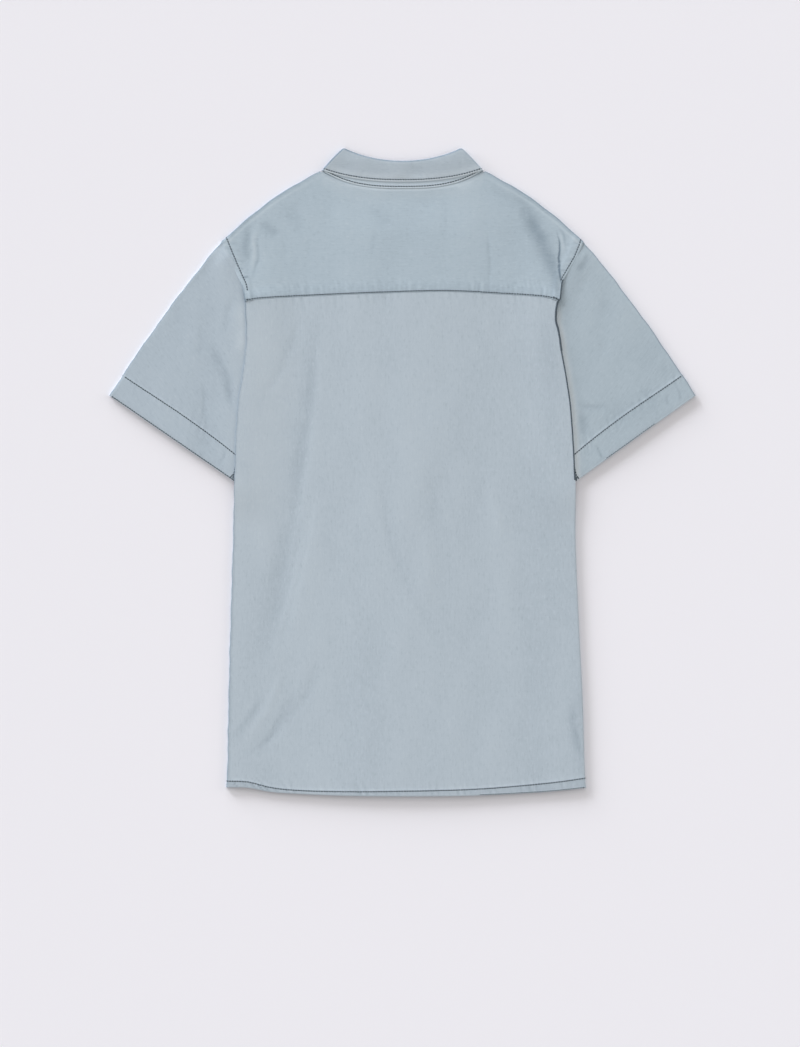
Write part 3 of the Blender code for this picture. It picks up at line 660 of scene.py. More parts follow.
def addCloth(name, lattice, material, wearAndPaintedLight, measures, ply=shirt["ply"], faceUp=True, closed=False):
    # a thin shell of cloth whose outer face is the lattice; places that are not numbers are left out
    kept = ~np.isnan(lattice[..., 2])
    index = np.full(kept.shape, -1)
    index[kept] = np.arange(kept.sum())
    outer = lattice[kept]
    left = index if closed else index[:, :-1]
    right = np.roll(index, -1, axis=1) if closed else index[:, 1:]
    quads = np.stack([left[:-1], right[:-1], right[1:], left[1:]], axis=-1).reshape(-1, 4)
    quads = quads[(quads >= 0).all(axis=1)]
    a, b, c, d = (outer[quads[:, k]] for k in range(4))
    facing = np.cross(c - a, d - b)
    highest = np.argmax((a + b + c + d)[:, 2])
    if (facing[highest, 2] > 0) != faceUp:
        quads, facing = quads[:, ::-1], -facing
    normals = np.zeros_like(outer)
    for k in range(4):
        np.add.at(normals, quads[:, k], facing)
    normals /= np.linalg.norm(normals, axis=1, keepdims=True)
    inner = outer - normals * ply
    way = np.full(lattice.shape, np.nan)
    way[kept] = normals
    surfaces[name] = (lattice, way, measures)

    # the cut or turned edge closes the two faces
    count = len(outer)
    sides = np.concatenate([quads[:, [k, (k + 1) % 4]] for k in range(4)])
    _, first, uses = np.unique(np.sort(sides, axis=1), axis=0, return_index=True, return_counts=True)
    rim = sides[first[uses == 1]]
    rimFaces = np.stack([rim[:, 1], rim[:, 0], rim[:, 0] + count, rim[:, 1] + count], axis=-1)
    faces = np.concatenate([quads, quads[:, ::-1] + count, rimFaces])
    piece = addPiece("denim_" + name, np.concatenate([outer, inner]), faces.tolist(), material)

    # the tone of wear, painted light and painted shade, kept on every point
    shade = piece.data.attributes.new("wearAndPaintedLight", "FLOAT", "POINT")
    shade.data.foreach_set("value", np.tile(wearAndPaintedLight[kept], 2).astype(np.float32))
    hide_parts(name)
    return piece


def foldProfile(steps, start=-90.0, end=90.0):
    # a pressed fold between its two layers: out and up from 0 to 1, flatter on top than a half round
    angles = np.radians(np.linspace(start, end, steps + 1)[1:-1])
    out, up = np.cos(angles), np.sin(angles)
    square = shirt["foldSquare"]
    return list(zip(np.abs(out) ** square, np.sign(up) * np.abs(up) ** square))


# Where a seam draws the cloth up, short puckers stand across it: their lengths along the seam and how
# high they are, in millimetres.
puckers = {
    "lengths": (5.6, 7.3, 9.4, 13.0),
    "sizes": (0.03, 0.04, 0.034, 0.03),
    # how much the puckers' height shifts the tone, paler on the crests and darker in the dips: partly real
    # seam wear, partly painted light and shade
    "wearAndPaintedLight": 2.6,
}


def puckerAt(reach, slant, seed, low=0.35):
    # slant moves the puckers along as they run away from the seam; each stretch has its own strength
    strong = low + (1 - low) * ease(-0.6, 0.9, waves(reach, seed + 50, (47, 83), (0.6, 0.5)))
    return strong * waves(reach + slant, seed, puckers["lengths"], puckers["sizes"])


# The back panel: its side edges roll over and run back underneath. Below the sleeves they rest on the
# floor, and at the sleeves on the sleeves.
backPanel = {
    "top": 211.0,           # where its sides meet the yoke's corners
    "climb": (-68, -13),    # between these heights the sides climb on to the sleeves
    "nearYoke": (165, 212),         # between these the turned edge gets narrower
    "narrower": 5.5,
    "thinner": 2.9,         # so much flatter are the sides where they lie on the sleeves
    "waver": ((31, 17, 66), (0.18, 0.1, 0.25)),     # the seams inside keep the sides from lying straight
    "hemStep": 0.16,
    "hemRound": 0.16,
    # the hem is not turned evenly: places across, and how far in its thread runs there
    "hemAt": (-223, -192, -139, -62, 0, 104, 223),
    "hemStitch": (7.9, 7.2, 4.4, 5.2, 6.2, 8.0, 12.0),
    "underYoke": 8.0,       # how far the panel runs up under the yoke
    "stitchDip": 0.09,
    # the armhole seam draws the right edge in: heights, and how far
    "drawnAt": (150, 165, 178.5, 186, 200.7, 208, 217),
    "drawnIn": (0, 0.6, 2.7, 4.8, 4.5, 3.1, 0),
    "gatheredAt": (-180, 32),           # the hem is drawn up most here, and how far to either side
    "foldPaintedShade": 1.5,         # painted shade along the left fold, which faces the lamps
    "seamPaintedShade": 1.5,         # and more of it where the armhole seam begins
    "seamUp": (145, 205),
    "columns": 164,
    "flapAt": (0, 0.05, 0.1, 0.155, 0.21, 0.35, 0.5, 0.57, 0.64, 0.8, 1.0),
    "sideStitches": (0.155, 0.57),      # the felled side seam's two rows, as shares of the flap
}


def bodyEdge(y):
    # the right edge of the body as seen from above, yoke included
    heights = backPanel["drawnAt"]
    drawn = throughPoints(heights, backPanel["drawnIn"], np.clip(y, heights[0], heights[-1]))
    return np.where(y > backPanel["top"], pathAtHeight(yokeRight, y), halfAt(y) + swayAt(y) - drawn)


def addBack():
    panel, arcSteps = backPanel, 9
    # rows of cloth from top to hem, closest where seams and the hem shape it
    hemRows = np.array([0, 0.12, 0.35, 0.8, 1.6, 2.8, 3.8, 4.6, 5.4, 6.2, 7, 7.8, 8.6, 9.4, 10.2, 11, 11.8,
                        12.6, 14, 15.5, 17])
    hidden = -panel["underYoke"] + np.array([0, 3, 5.5, 7.2])
    below = [0.0, 0.8, 1.8, 3, 4.5, 6.5, 9, 12]
    sideTop, sideLow = panel["top"], hemY(sideLine["half"][0])
    full = sideTop - sideLow
    middle = np.linspace(15.0, full - 20.0, 172)
    station = sideTop - np.concatenate([hidden, below, middle, full - hemRows[::-1]])
    share = (sideTop - station) / full

    onSleeve = ease(*panel["climb"], station)
    level = shirt["overSleeve"] * onSleeve
    height = shirt["bodyTop"] - panel["thinner"] * onSleeve
    narrower = panel["narrower"] * ease(*panel["nearYoke"], station)
    flap = blend(shirt["flap"], shirt["flapOnSleeve"], onSleeve) - narrower
    fromHem = station - sideLow
    half = halfAt(np.clip(station, sideLine["y"][0], shirt["sidesTop"])) + waves(station, 3, *panel["waver"])
    radius = height / 2
    swing = swayAt(station)

    columns = []
    hemGroove = hump(fromHem, panel["hemStitch"][0], 1.0)
    for at in panel["flapAt"]:
        sideGroove = sum(hump(at, row, 0.045) for row in panel["sideStitches"])
        sewn = shirt["groove"] * np.maximum(hemGroove, sideGroove)
        columns.append((half - flap + (flap - radius) * at, level + sewn))
    for out, up in foldProfile(arcSteps):
        columns.append((half - radius + radius * out, level + radius + radius * up))
    inner = half - radius
    top = [(inner * turn, None) for turn in np.linspace(1, -1, panel["columns"] + 1)]
    left = [(-x, z) for x, z in reversed(columns)]

    lattice = np.zeros((len(station), 2 * len(columns) + len(top), 3))
    isTop = np.zeros(lattice.shape[1], bool)
    for k, (x, z) in enumerate(columns + top + left):
        lattice[:, k, 0] = x + swing
        seam = yokeSeamY(x) - shirt["seamGap"]
        lattice[:, k, 1] = blend(seam, hemY(x), share)
        if z is None:
            isTop[k] = True
        else:
            lattice[:, k, 2] = z

    drawnIn = (half + swing - bodyEdge(np.minimum(station, sideTop)))[:, None]
    lattice[..., 0] -= drawnIn * np.clip(lattice[..., 0] / half[:, None], 0, 1) ** 5

    x, y = lattice[:, isTop, 0], lattice[:, isTop, 1]
    offEdge = inner[:, None] - np.abs(x - swing[:, None])
    edge = fade(0, shirt["edgeReach"], offEdge)
    rise, lightAndWear = bodyTopAt(x, y)
    z = blend(rise, (level + height)[:, None], edge)
    step = fromHem[:, None]
    sewnAt = throughPoints(panel["hemAt"], panel["hemStitch"], x)
    hem = panel["hemStep"] * fade(1.0, 3.5, step - sewnAt)
    hem = hem - panel["stitchDip"] * hump(step, sewnAt, 1.1) - panel["hemRound"] * fade(0, 1.3, step) ** 2
    nearHem = ease(0, 1.5, step) * fade(9, 24, step)
    drawnUp = hump(x, *panel["gatheredAt"])
    gathered = puckerAt(x, (0.35 + 0.8 * drawnUp) * step, 21) * nearHem
    gathered = gathered * ease(2, 12, offEdge) * (1 + 1.6 * drawnUp)
    # under the yoke the panel sinks a little, and just below its edge it is drawn up by the same seam
    below = (sideTop - station)[:, None]
    sink = -0.5 * fade(-1.6, 0.3, below)
    drawn = puckerAt(x, -0.2 * below, 31) * fade(2, 18, below) * ease(-1, 1, below)
    lattice[:, isTop, 2] = z + hem + gathered + sink + drawn

    wearAndPaintedLight = np.zeros(lattice.shape[:2])
    # painted shade in the puckers' dips by the hem, most at the drawn-up corner, a darker strip below the hem
    # thread, a paler folded edge, partly worn and partly painted light against its own shading, and a thin
    # painted shade just below the yoke's edge
    squeezed = np.minimum(gathered, 0) * fade(-1.5, 0, step - sewnAt)
    wearAndPaintedLight[:, isTop] = (lightAndWear + puckers["wearAndPaintedLight"] * (gathered + drawn) + (2 + 5 * drawnUp) * squeezed
                      - 0.2 * ease(1.0, 2.4, step) * fade(-1.5, 0.5, step - sewnAt)
                      + 0.1 * fade(0, 1.4, step) - 0.06 * hump(below, 0.8, 1.0))
    # the left fold, which faces the lamps, is painted darker as shade, and above, where the armhole seam
    # begins, more painted shade makes a thin dark line along it
    leftEdge = np.arange(lattice.shape[1]) - (len(columns) + len(top))
    onLeftFold = ease(-2, 1, leftEdge) * fade(arcSteps - 4, arcSteps - 1, leftEdge)
    kept = panel["foldPaintedShade"] + 0.3 * onSleeve + panel["seamPaintedShade"] * ease(*panel["seamUp"], station)
    wearAndPaintedLight -= kept[:, None] * onLeftFold[None, :]
    # places along the flap: 0 to 1 on the right one, and 4 down to 3 on the left one
    rightFlap = np.array(panel["flapAt"])
    flapAt = np.concatenate([rightFlap, np.full(lattice.shape[1] - 2 * len(rightFlap), 2.0),
                             4.0 - rightFlap[::-1]])
    hemLine = throughPoints(panel["hemAt"], panel["hemStitch"], lattice[..., 0])
    return addCloth("back", lattice, cloths["body"], wearAndPaintedLight,
                    {"hem": fromHem[:, None] - hemLine, "edge": fromHem[:, None], "flap": flapAt[None, :]})


backPiece = addBack()
print("back ready")


# The yoke: one layer on the back, lapped over the back panel, that runs over both shoulders and meets
# the fronts underneath.
yokePanel = {
    "lap": 0.2,             # how far its turned edge stands above the back panel
    "lapDepth": 13.4,       # seam allowance pressed up inside
    "edgeRound": 0.18,
    "stitch": 1.9,          # from the turned edge to the thread
    "stitchDip": 0.12,
    "armholeStitch": {-1: 5.0, 1: 2.8},     # from the left and right armhole edge to its thread
    "armholeStop": {-1: 222.0, 1: 236.0},   # above these heights the armhole threads show
    "armholeDepth": 9.5,
    "frontDepth": 30.0,
    "frontInset": (8.5, 17.0),      # how far its front seam runs in, at the neck and at the shoulder
    "underStand": 3.4,      # how far it runs up under the collar stand
    "underAcross": (52, 82),        # but no longer at the sides of the neck
    "standLowY": 350.5,
    "neckCurve": 2.8,
    "waver": ((23, 41), (0.25, 0.3)),       # of the shoulder line
    "shoulderPaintedShade": 1.4,     # painted shade on the fold along the shoulders, which faces the lamps
    "edgePaintedShade": 1.5,         # and on the left edge below the shoulder
    "edgeShadeUp": (224, 238),
}


def neckY(x):
    # the lower edge of the collar stand at the back
    low = yokePanel["standLowY"]
    neckX, neckTop = shirt["neckSide"]
    return low + (neckTop - low) * np.abs(x / neckX) ** yokePanel["neckCurve"]


def frontYokeSeam(half):
    # where the yoke meets a front underneath, for a place on the shoulder line
    (neckX, _), (tipX, _) = shirt["neckSide"], shirt["shoulderTip"]
    share = (half - neckX) / (tipX - neckX)
    return half - blend(*yokePanel["frontInset"], share), shoulderY(half) - yokePanel["frontDepth"]


def addYoke():
    panel = yokePanel
    tip, corner = shirt["shoulderTip"][0], shirt["neckCorner"]
    yokeHalf = shirt["yokeHalf"]
    nearArmhole = tip - np.array([0, 0.15, 0.4, 0.8, 1.4, 2.2, 3.2, 4.2, 5.0, 5.8, 6.8, 8.0, 9.4, 11, 13,
                                  15.5])
    shoulder = np.concatenate([nearArmhole, np.linspace(tip - 17, corner, 84)])
    neck = np.linspace(corner, -corner, 92)[1:-1]
    across = np.concatenate([shoulder, neck, -shoulder[::-1]])
    near = np.array([0, 0.15, 0.4, 0.8, 1.4, 2, 2.5, 3, 3.5, 4.2, 5.2, 6.5, 8, 9.5, 11, 12, 12.8, 13.6, 14.6,
                     16, 18, 20.5, 23.5])
    underneath = np.concatenate([np.linspace(0, 0.8, 5), np.linspace(0.84, 1, 8)])
    arcSteps, farSteps = 10, 46
    rows = len(near) + farSteps + arcSteps - 1 + len(underneath)
    lattice = np.full((len(across), rows, 3), np.nan)
    wraps = np.abs(across) >= corner - 0.01
    share = across / tip
    seamX = share * yokeHalf
    seamLow = np.stack([seamX, yokeSeamY(seamX)], axis=-1)
    lift = shirt["collarLift"] * fade(*shirt["collarAcross"], np.abs(across))
    radius = (shirt["bodyTop"] - lift) / 2

    # the shoulder line and the way out of it, for the columns that go over it
    lineY = shoulderY(np.abs(across))
    slope = (shoulderY(np.abs(across) + 1) - shoulderY(np.abs(across) - 1)) / 2
    away = np.stack([-slope * np.sign(across), np.ones_like(across)], axis=-1)
    away /= np.linalg.norm(away, axis=-1, keepdims=True)
    line = np.stack([across, lineY + waves(across, 9, *panel["waver"])], axis=-1)
    tuck = panel["underStand"] * fade(*panel["underAcross"], np.abs(across))
    high = np.where(wraps[:, None], line - away * radius[:, None],
                    np.stack([across, neckY(across) - 0.5 + tuck], axis=-1))
    tipHigh = high[0]

    length = np.linalg.norm(high - seamLow, axis=-1)
    far = near[-1] + (length[:, None] - near[-1]) * np.linspace(0, 1, farSteps + 1)[1:]
    reach = np.concatenate([np.tile(near, (len(across), 1)), far], axis=1)
    up = reach / length[:, None]
    x = blend(seamLow[:, None, 0], high[:, None, 0], up)
    y = blend(seamLow[:, None, 1], high[:, None, 1], up)
    edgeX = blend(yokeHalf, tipHigh[0], up)
    edgeY = blend(float(yokeSeamY(yokeHalf)), tipHigh[1], up)
    leftEdge, rightEdge = (pathAtHeight(path, edgeY) for path in (yokeLeft, yokeRight))
    bow = (np.where(share[:, None] < 0, leftEdge, rightEdge) - edgeX) * np.abs(share[:, None]) ** 4
    x = x + bow * np.sign(across)[:, None]
    fromEdge = (1.0 - np.abs(share)) * yokeHalf
    edge = fade(0, shirt["edgeReach"], fromEdge)[:, None]
    edgeHeight = shirt["bodyTop"] + 0.9 * fade(0.15, 0.6, up) + 0.6 * fade(0.0, 0.2, up)
    rise, lightAndWear = bodyTopAt(x, y)
    nearNeck = np.where(wraps[:, None], ease(0.93, 1.0, up), ease(0.9, 1.0, up))
    z = blend(rise, edgeHeight, np.maximum(edge, nearNeck))

    # the lapped edge: turned under, sewn down, with the allowance showing as a ridge above the thread
    lap = panel["lap"] * fade(3, panel["lapDepth"] + 5, reach)
    lap -= panel["edgeRound"] * fade(0, 1.2, reach) ** 2
    lap -= panel["stitchDip"] * hump(reach, panel["stitch"], 1.0)
    along = seamX[:, None]
    gathered = (puckerAt(along, 0.06 * reach, 41) * fade(9, 17, reach)
                + 0.6 * puckerAt(along, 0.3 * reach, 43) * ease(8, 12, reach) * fade(13, 26, reach))
    gathered = 1.15 * gathered * ease(0.0, 2.0, reach) * ease(2, 10, fromEdge)[:, None]

    # the armhole edge: the same, laid on the sleeve
    side = fromEdge[:, None]
    threadAt = np.where(share[:, None] < 0, panel["armholeStitch"][-1], panel["armholeStitch"][1])
    armhole = 0.3 * fade(panel["armholeDepth"] - 1, panel["armholeDepth"] + 2, side)
    armhole += -0.3 * fade(0, 1.1, side) ** 2 - 0.1 * hump(side, threadAt, 1.1)
    drawn = 0.9 * puckerAt(y, 0.3 * side, 47) * ease(0, 2, side) * fade(7, 18, side)
    # it rises to the collar stand and sinks under its edge
    fromNeck = length[:, None] - reach
    sink = 0.15 * fade(3, 20, fromNeck) - 0.8 * fade(1.4, 3.2, fromNeck)
    sink = sink * (tuck / panel["underStand"])[:, None]
    z = z + lap + gathered + armhole + drawn + sink
    flat = reach.shape[1]
    lattice[:, :flat] = np.stack([x, y, z], axis=-1)

    wearAndPaintedLight = np.zeros((len(across), rows))
    # the tone: painted shade over the seam allowance, against the light its pressed ridge catches, and low by
    # the armholes; paler by the armhole edge and darker beyond its allowance; painted light in a line just
    # below the collar stand and in a broad band under the collar, against their shadows; painted shade at the
    # neck on the shoulders; the puckers' tone; and painted shade on the left edge
    wearAndPaintedLight[:, :flat] = (lightAndWear + puckers["wearAndPaintedLight"] * (gathered + drawn) - 0.2 * fade(7, 19, reach)
                      + 0.06 * hump(side, 1.0, 1.4) - 0.08 * hump(side, panel["armholeDepth"] + 2, 1.6)
                      - 0.3 * fade(0, 0.22, up) * fade(3, 16, side)
                      + 0.5 * hump(fromNeck, 4.2, 1.4) + 0.22 * hump(fromNeck, 9, 9) * (1 - wraps[:, None])
                      - 0.35 * fade(0, 4, fromNeck) * wraps[:, None]
                      - panel["edgePaintedShade"] * (share[:, None] < 0) * hump(side, 0.4, 1.0)
                      * fade(*panel["edgeShadeUp"], y))
    # the shoulder fold painted dark as shade
    wearAndPaintedLight[:, flat:flat + arcSteps] = -panel["shoulderPaintedShade"]

    # over the shoulder and back underneath
    for k, (out, up) in enumerate(foldProfile(arcSteps, 90, -90)):
        place = line - away * (radius * (1 - out))[:, None]
        height = lift + radius + radius * up
        lattice[wraps, flat + k] = np.column_stack([place, height])[wraps]
    seamX, seamY = frontYokeSeam(np.abs(across))
    seam = np.stack([seamX * np.sign(across), seamY], axis=-1)
    start = line - away * radius[:, None]
    toSeam = np.linalg.norm(seam - start, axis=-1)
    fromSeam = np.full((len(across), rows), 99.0)
    for i, at in enumerate(underneath):
        place = blend(start, seam, at)
        left = toSeam * (1 - at)
        grooves = np.maximum(hump(left, panel["stitch"], 0.9), hump(side, threadAt, 0.9)[:, 0])
        height = lift + shirt["groove"] * grooves
        lattice[wraps, flat + arcSteps - 1 + i] = np.column_stack([place, height])[wraps]
        fromSeam[:, flat + arcSteps - 1 + i] = left
    allReach = np.full((len(across), rows), 999.0)
    allReach[:, :flat] = reach
    return addCloth("yoke", lattice, cloths["yoke"], wearAndPaintedLight,
                    {"seam": allReach, "sideways": (share * yokeHalf)[:, None], "front": fromSeam})


yokePiece = addYoke()
print("yoke ready")


# Short sleeves: each is a tube pressed flat, with a deep hem turned up and sewn all round.
sleeve = {
    "height": 4.0,
    "width": 190.0,         # across the tube, before it is laid between the armhole and the cuff
    "cuffOuter": (361.2, 95.1),
    "cuffInner": (210.6, -10.5),
    "hemDepth": 31.2,
    "hemStep": 0.2,
    "hemRound": 0.16,
    "hemStitch": 29.6,
    "edgeStitch": 1.0,
    "underStitch": 12.0,    # the underarm seam lies this far in, underneath
    "paintedLight": 1.9,          # painted light on the right one beside the body's edge, against the shadow the edge throws, up to these heights
    "paintedLightUp": (192, 212),
    "foldPaintedShade": 1.2,         # painted shade along the upper fold, which faces the lamps
    "bulge": 3.5,
    # unevenness of the upper fold, of the upper face and of the lower one: lengths and sizes
    "waver": ((37, 19, 71), (0.25, 0.12, 0.3)),
    "swell": ((105, 58, 33), (0.12, 0.06, 0.022)),
    "underSwell": ((90, 52), (0.5, 0.3)),
    "underYoke": 6.0,       # how far the head runs in under the yoke's edge
    "topColumns": 84,
    "underColumns": 44,
}


def addSleeve(name, side, material):
    part = sleeve
    cuffOuter, cuffInner = np.array(part["cuffOuter"]), np.array(part["cuffInner"])
    width = part["width"]
    radius = part["height"] / 2
    arcSteps = 8

    # round the tube: over the top, round the inner fold, back underneath and round the outer fold
    topReach = np.linspace(radius, width - radius, part["topColumns"] + 1)
    outArc = [(width - radius + radius * out, radius + radius * up)
              for out, up in foldProfile(arcSteps, 90, -90)]
    nearSeam = part["underStitch"] + np.array([-2.5, -1.2, 0, 1.2, 2.5])
    underReach = np.concatenate([[width - radius, width - 5, width - 8], width - nearSeam,
                                 np.linspace(width - 18, radius, part["underColumns"])])
    inArc = [(radius - radius * out, radius + radius * up) for out, up in foldProfile(arcSteps)]
    reach = np.concatenate([topReach, [p[0] for p in outArc], underReach, [p[0] for p in inArc]])
    level = np.concatenate([np.full(len(topReach), 2 * radius), [p[1] for p in outArc],
                            np.zeros(len(underReach)), [p[1] for p in inArc]])
    isTop, isUnder = level == 2 * radius, level == 0
    share = reach / width
    length = blend(math.dist(shirt["shoulderTip"], cuffOuter), math.dist(shirt["armpit"], cuffInner), share)

    # along it, from the cuff to the armhole
    near = np.array([0, 0.15, 0.5, 1.0, 1.5, 2.2, 3.5, 5.5, 8, 11, 14, 17, 20, 22.5, 24.5, 26, 27.6, 28.4,
                     29, 29.6, 30.2, 30.8, 31.4, 32, 33, 35, 37.5])
    farSteps = 62
    far = np.linspace(0, 1, farSteps + 1)[1:]
    fromCuff = np.concatenate([np.tile(near[:, None], (1, len(share))),
                               near[-1] + (length - near[-1])[None, :] * far[:, None]])
    back = fromCuff / length
    cuff = blend(cuffOuter[None], cuffInner[None], share[:, None])
    raised = level / part["height"]
    armhole = blend(pathPoint(armholeUnder, share), pathPoint(armholeTop, share), raised[:, None])
    x = blend(cuff[None, :, 0], armhole[None, :, 0], back)
    y = blend(cuff[None, :, 1], armhole[None, :, 1], back)
    bulge = part["bulge"] * np.sin(math.pi * back) * (1.0 - share[None, :]) ** 2
    # the fold and the two ends are a little uneven
    unevenFold = waves(fromCuff, 61 + side, *part["waver"]) * fade(0, 0.05, share)[None, :]
    tuck = part["underYoke"] * ease(0.9, 1.0, back) * (raised * ease(-0.06, 0.2, share))[None, :]
    x = side * (x + 0.8 * bulge + 0.7 * fade(0.9, 1, back) + unevenFold * 0.7 - tuck)
    y = y + 0.6 * bulge + unevenFold * 0.6
    x = x + swayAt(y) * share[None, :]
    z = np.tile(level[None, :], (len(back), 1))

    hem = part["hemStep"] * fade(part["hemDepth"] - 0.8, part["hemDepth"] + 1.8, fromCuff)
    dips = -0.1 * hump(fromCuff, part["hemStitch"], 1.0) - part["hemRound"] * fade(0, 1.2, fromCuff) ** 2
    dips = dips - 0.12 * hump(fromCuff, part["edgeStitch"] + 0.6, 0.7)
    gathered = puckerAt(reach[None, :], 0.4 * fromCuff, 71 + side) * (
        ease(16, 27, fromCuff) * fade(30, 46, fromCuff) + 0.4 * fade(2, 14, fromCuff) * ease(0, 2, fromCuff))
    offEdge = np.minimum(reach, width - reach)
    flatPart = ease(0, 9, offEdge)[None, :]
    rise, lightAndWear = creasesAt(x, y, creases)
    swell = rumple(x, y, 81 + side, *part["swell"])
    rise, lightAndWear = rise + swell, lightAndWear + shirt["swellLightAndWear"] * swell
    fromArmhole = length[None, :] * (1 - back)
    # near the shoulder it rises to meet the yoke, and along the armhole its seam pulls it in
    meet = (1.1 * fade(0.1, 0.45, share) * ease(0.0, 0.1, share))[None, :] * fade(0, 26, fromArmhole)
    seam = -0.35 * fade(4, 9, fromArmhole)
    z = z + (rise * flatPart + hem + dips + gathered * flatPart + meet + seam) * isTop[None, :]
    # underneath, the hem stands out into the tube, and the creases lift the cloth off the floor
    lifted = np.maximum(rumple(x, y, 91 + side, *part["underSwell"]), 0) + creasesAt(x, y, underCreases)[0]
    lifted = lifted * ease(2, 22, offEdge)[None, :] * ease(34, 60, fromCuff)
    underGroove = hump(width - reach, part["underStitch"], 1.0)[None, :]
    grooves = shirt["groove"] * (hump(fromCuff, part["hemStitch"], 0.9) + underGroove)
    z = z + np.maximum(lifted, grooves) * isUnder[None, :]
    arcs = ~(isTop | isUnder)
    z = z + 0.5 * (hem + dips) * arcs[None, :] * raised[None, :]

    # paler at the cuff's folded edge, painted shade just above the top of the hem and beside the armhole
    # seam, paler on the hem's top, and the puckers' tone
    wearAndPaintedLight = (lightAndWear + puckers["wearAndPaintedLight"] * gathered * flatPart + 0.16 * hump(fromCuff, 1.2, 1.5)
            - 0.12 * hump(fromCuff, part["hemDepth"] + 2.2, 1.6)
            + 0.06 * hump(fromCuff, part["hemDepth"] - 1, 1.6) - 0.1 * hump(fromArmhole, 6.5, 2.5))
    if side > 0:
        # painted light beside the body's edge, against the shadow that the edge throws
        wearAndPaintedLight = wearAndPaintedLight + part["paintedLight"] * fade(0, 12, x - bodyEdge(y)) ** 1.5 * fade(*part["paintedLightUp"], y)
    # the upper fold painted dark as shade
    wearAndPaintedLight = wearAndPaintedLight * isTop[None, :] - part["foldPaintedShade"] * (arcs & (share < 0.5) & (raised > 0.5))[None, :]
    onUnder = np.where(isUnder, width - reach, np.where(isTop, -9.0, 999.0))
    return addCloth(name, np.stack([x, y, z], axis=-1), material, wearAndPaintedLight,
                    {"cuff": fromCuff, "under": onUnder[None, :]}, closed=True)


leftSleeve = addSleeve("sleeve_left", -1, cloths["left sleeve"])
rightSleeve = addSleeve("sleeve_right", 1, cloths["right sleeve"])
print("sleeves ready")


# The fronts lie underneath, face down on the floor, except in the middle, where the buttons hold the
# band off the floor and the right front lies on the band.
frontPanel = {
    "low": -389.0,
    "width": 190.0,
    "neckDrop": 81.5,       # from the side of the neck down to the centre front
    "neckTurns": (225.0, 258.0, 288.0),     # heights where the front edge turns towards the neckline
    "bandLow": -399.4,
    "bandTop": 288.6,
    # where the fronts rise on to the band and the collar, and where they reach further under the sleeves
    "bandAcross": (30, 80),
    "collarUp": (215, 250),
    "wider": 4.5,
    "widerUp": (-60, 0),
    "columns": 60,
    "hemStitch": 8.0,
    "bandStitch": 6.0,
    "armholeStitch": 5.0,
    "armholeUp": (85, 100),         # that seam begins between these heights
    "swell": ((95, 55), (0.45, 0.25)),      # how the cloth rises off the floor
    "swellShare": 0.7,
    "strip": 4.0,           # how far the left front runs on behind the band
    "stripLift": (0.7, 0.35),
}


def frontNeck(share, clearance=0.0):
    # the front neckline from the centre front, 0, to the side of the neck, 1
    angle = share * math.pi / 2
    neckX, neckTop = shirt["neckSide"]
    half = neckX - shirt["neckInset"] + clearance
    drop = frontPanel["neckDrop"] + clearance
    return np.stack([half * np.sin(angle), neckTop - 0.9 - drop * np.cos(angle)], axis=-1)


def frontFloor(x, y, band):
    # what a front lies on: the buttoned band in the middle, and the collar's points above
    panel = frontPanel
    overBand = band * fade(*panel["bandAcross"], np.abs(x - swayAt(y)))
    lift = shirt["collarLift"] * ease(*panel["collarUp"], y)
    return np.maximum(overBand, lift * fade(*shirt["collarAcross"], np.abs(x)))


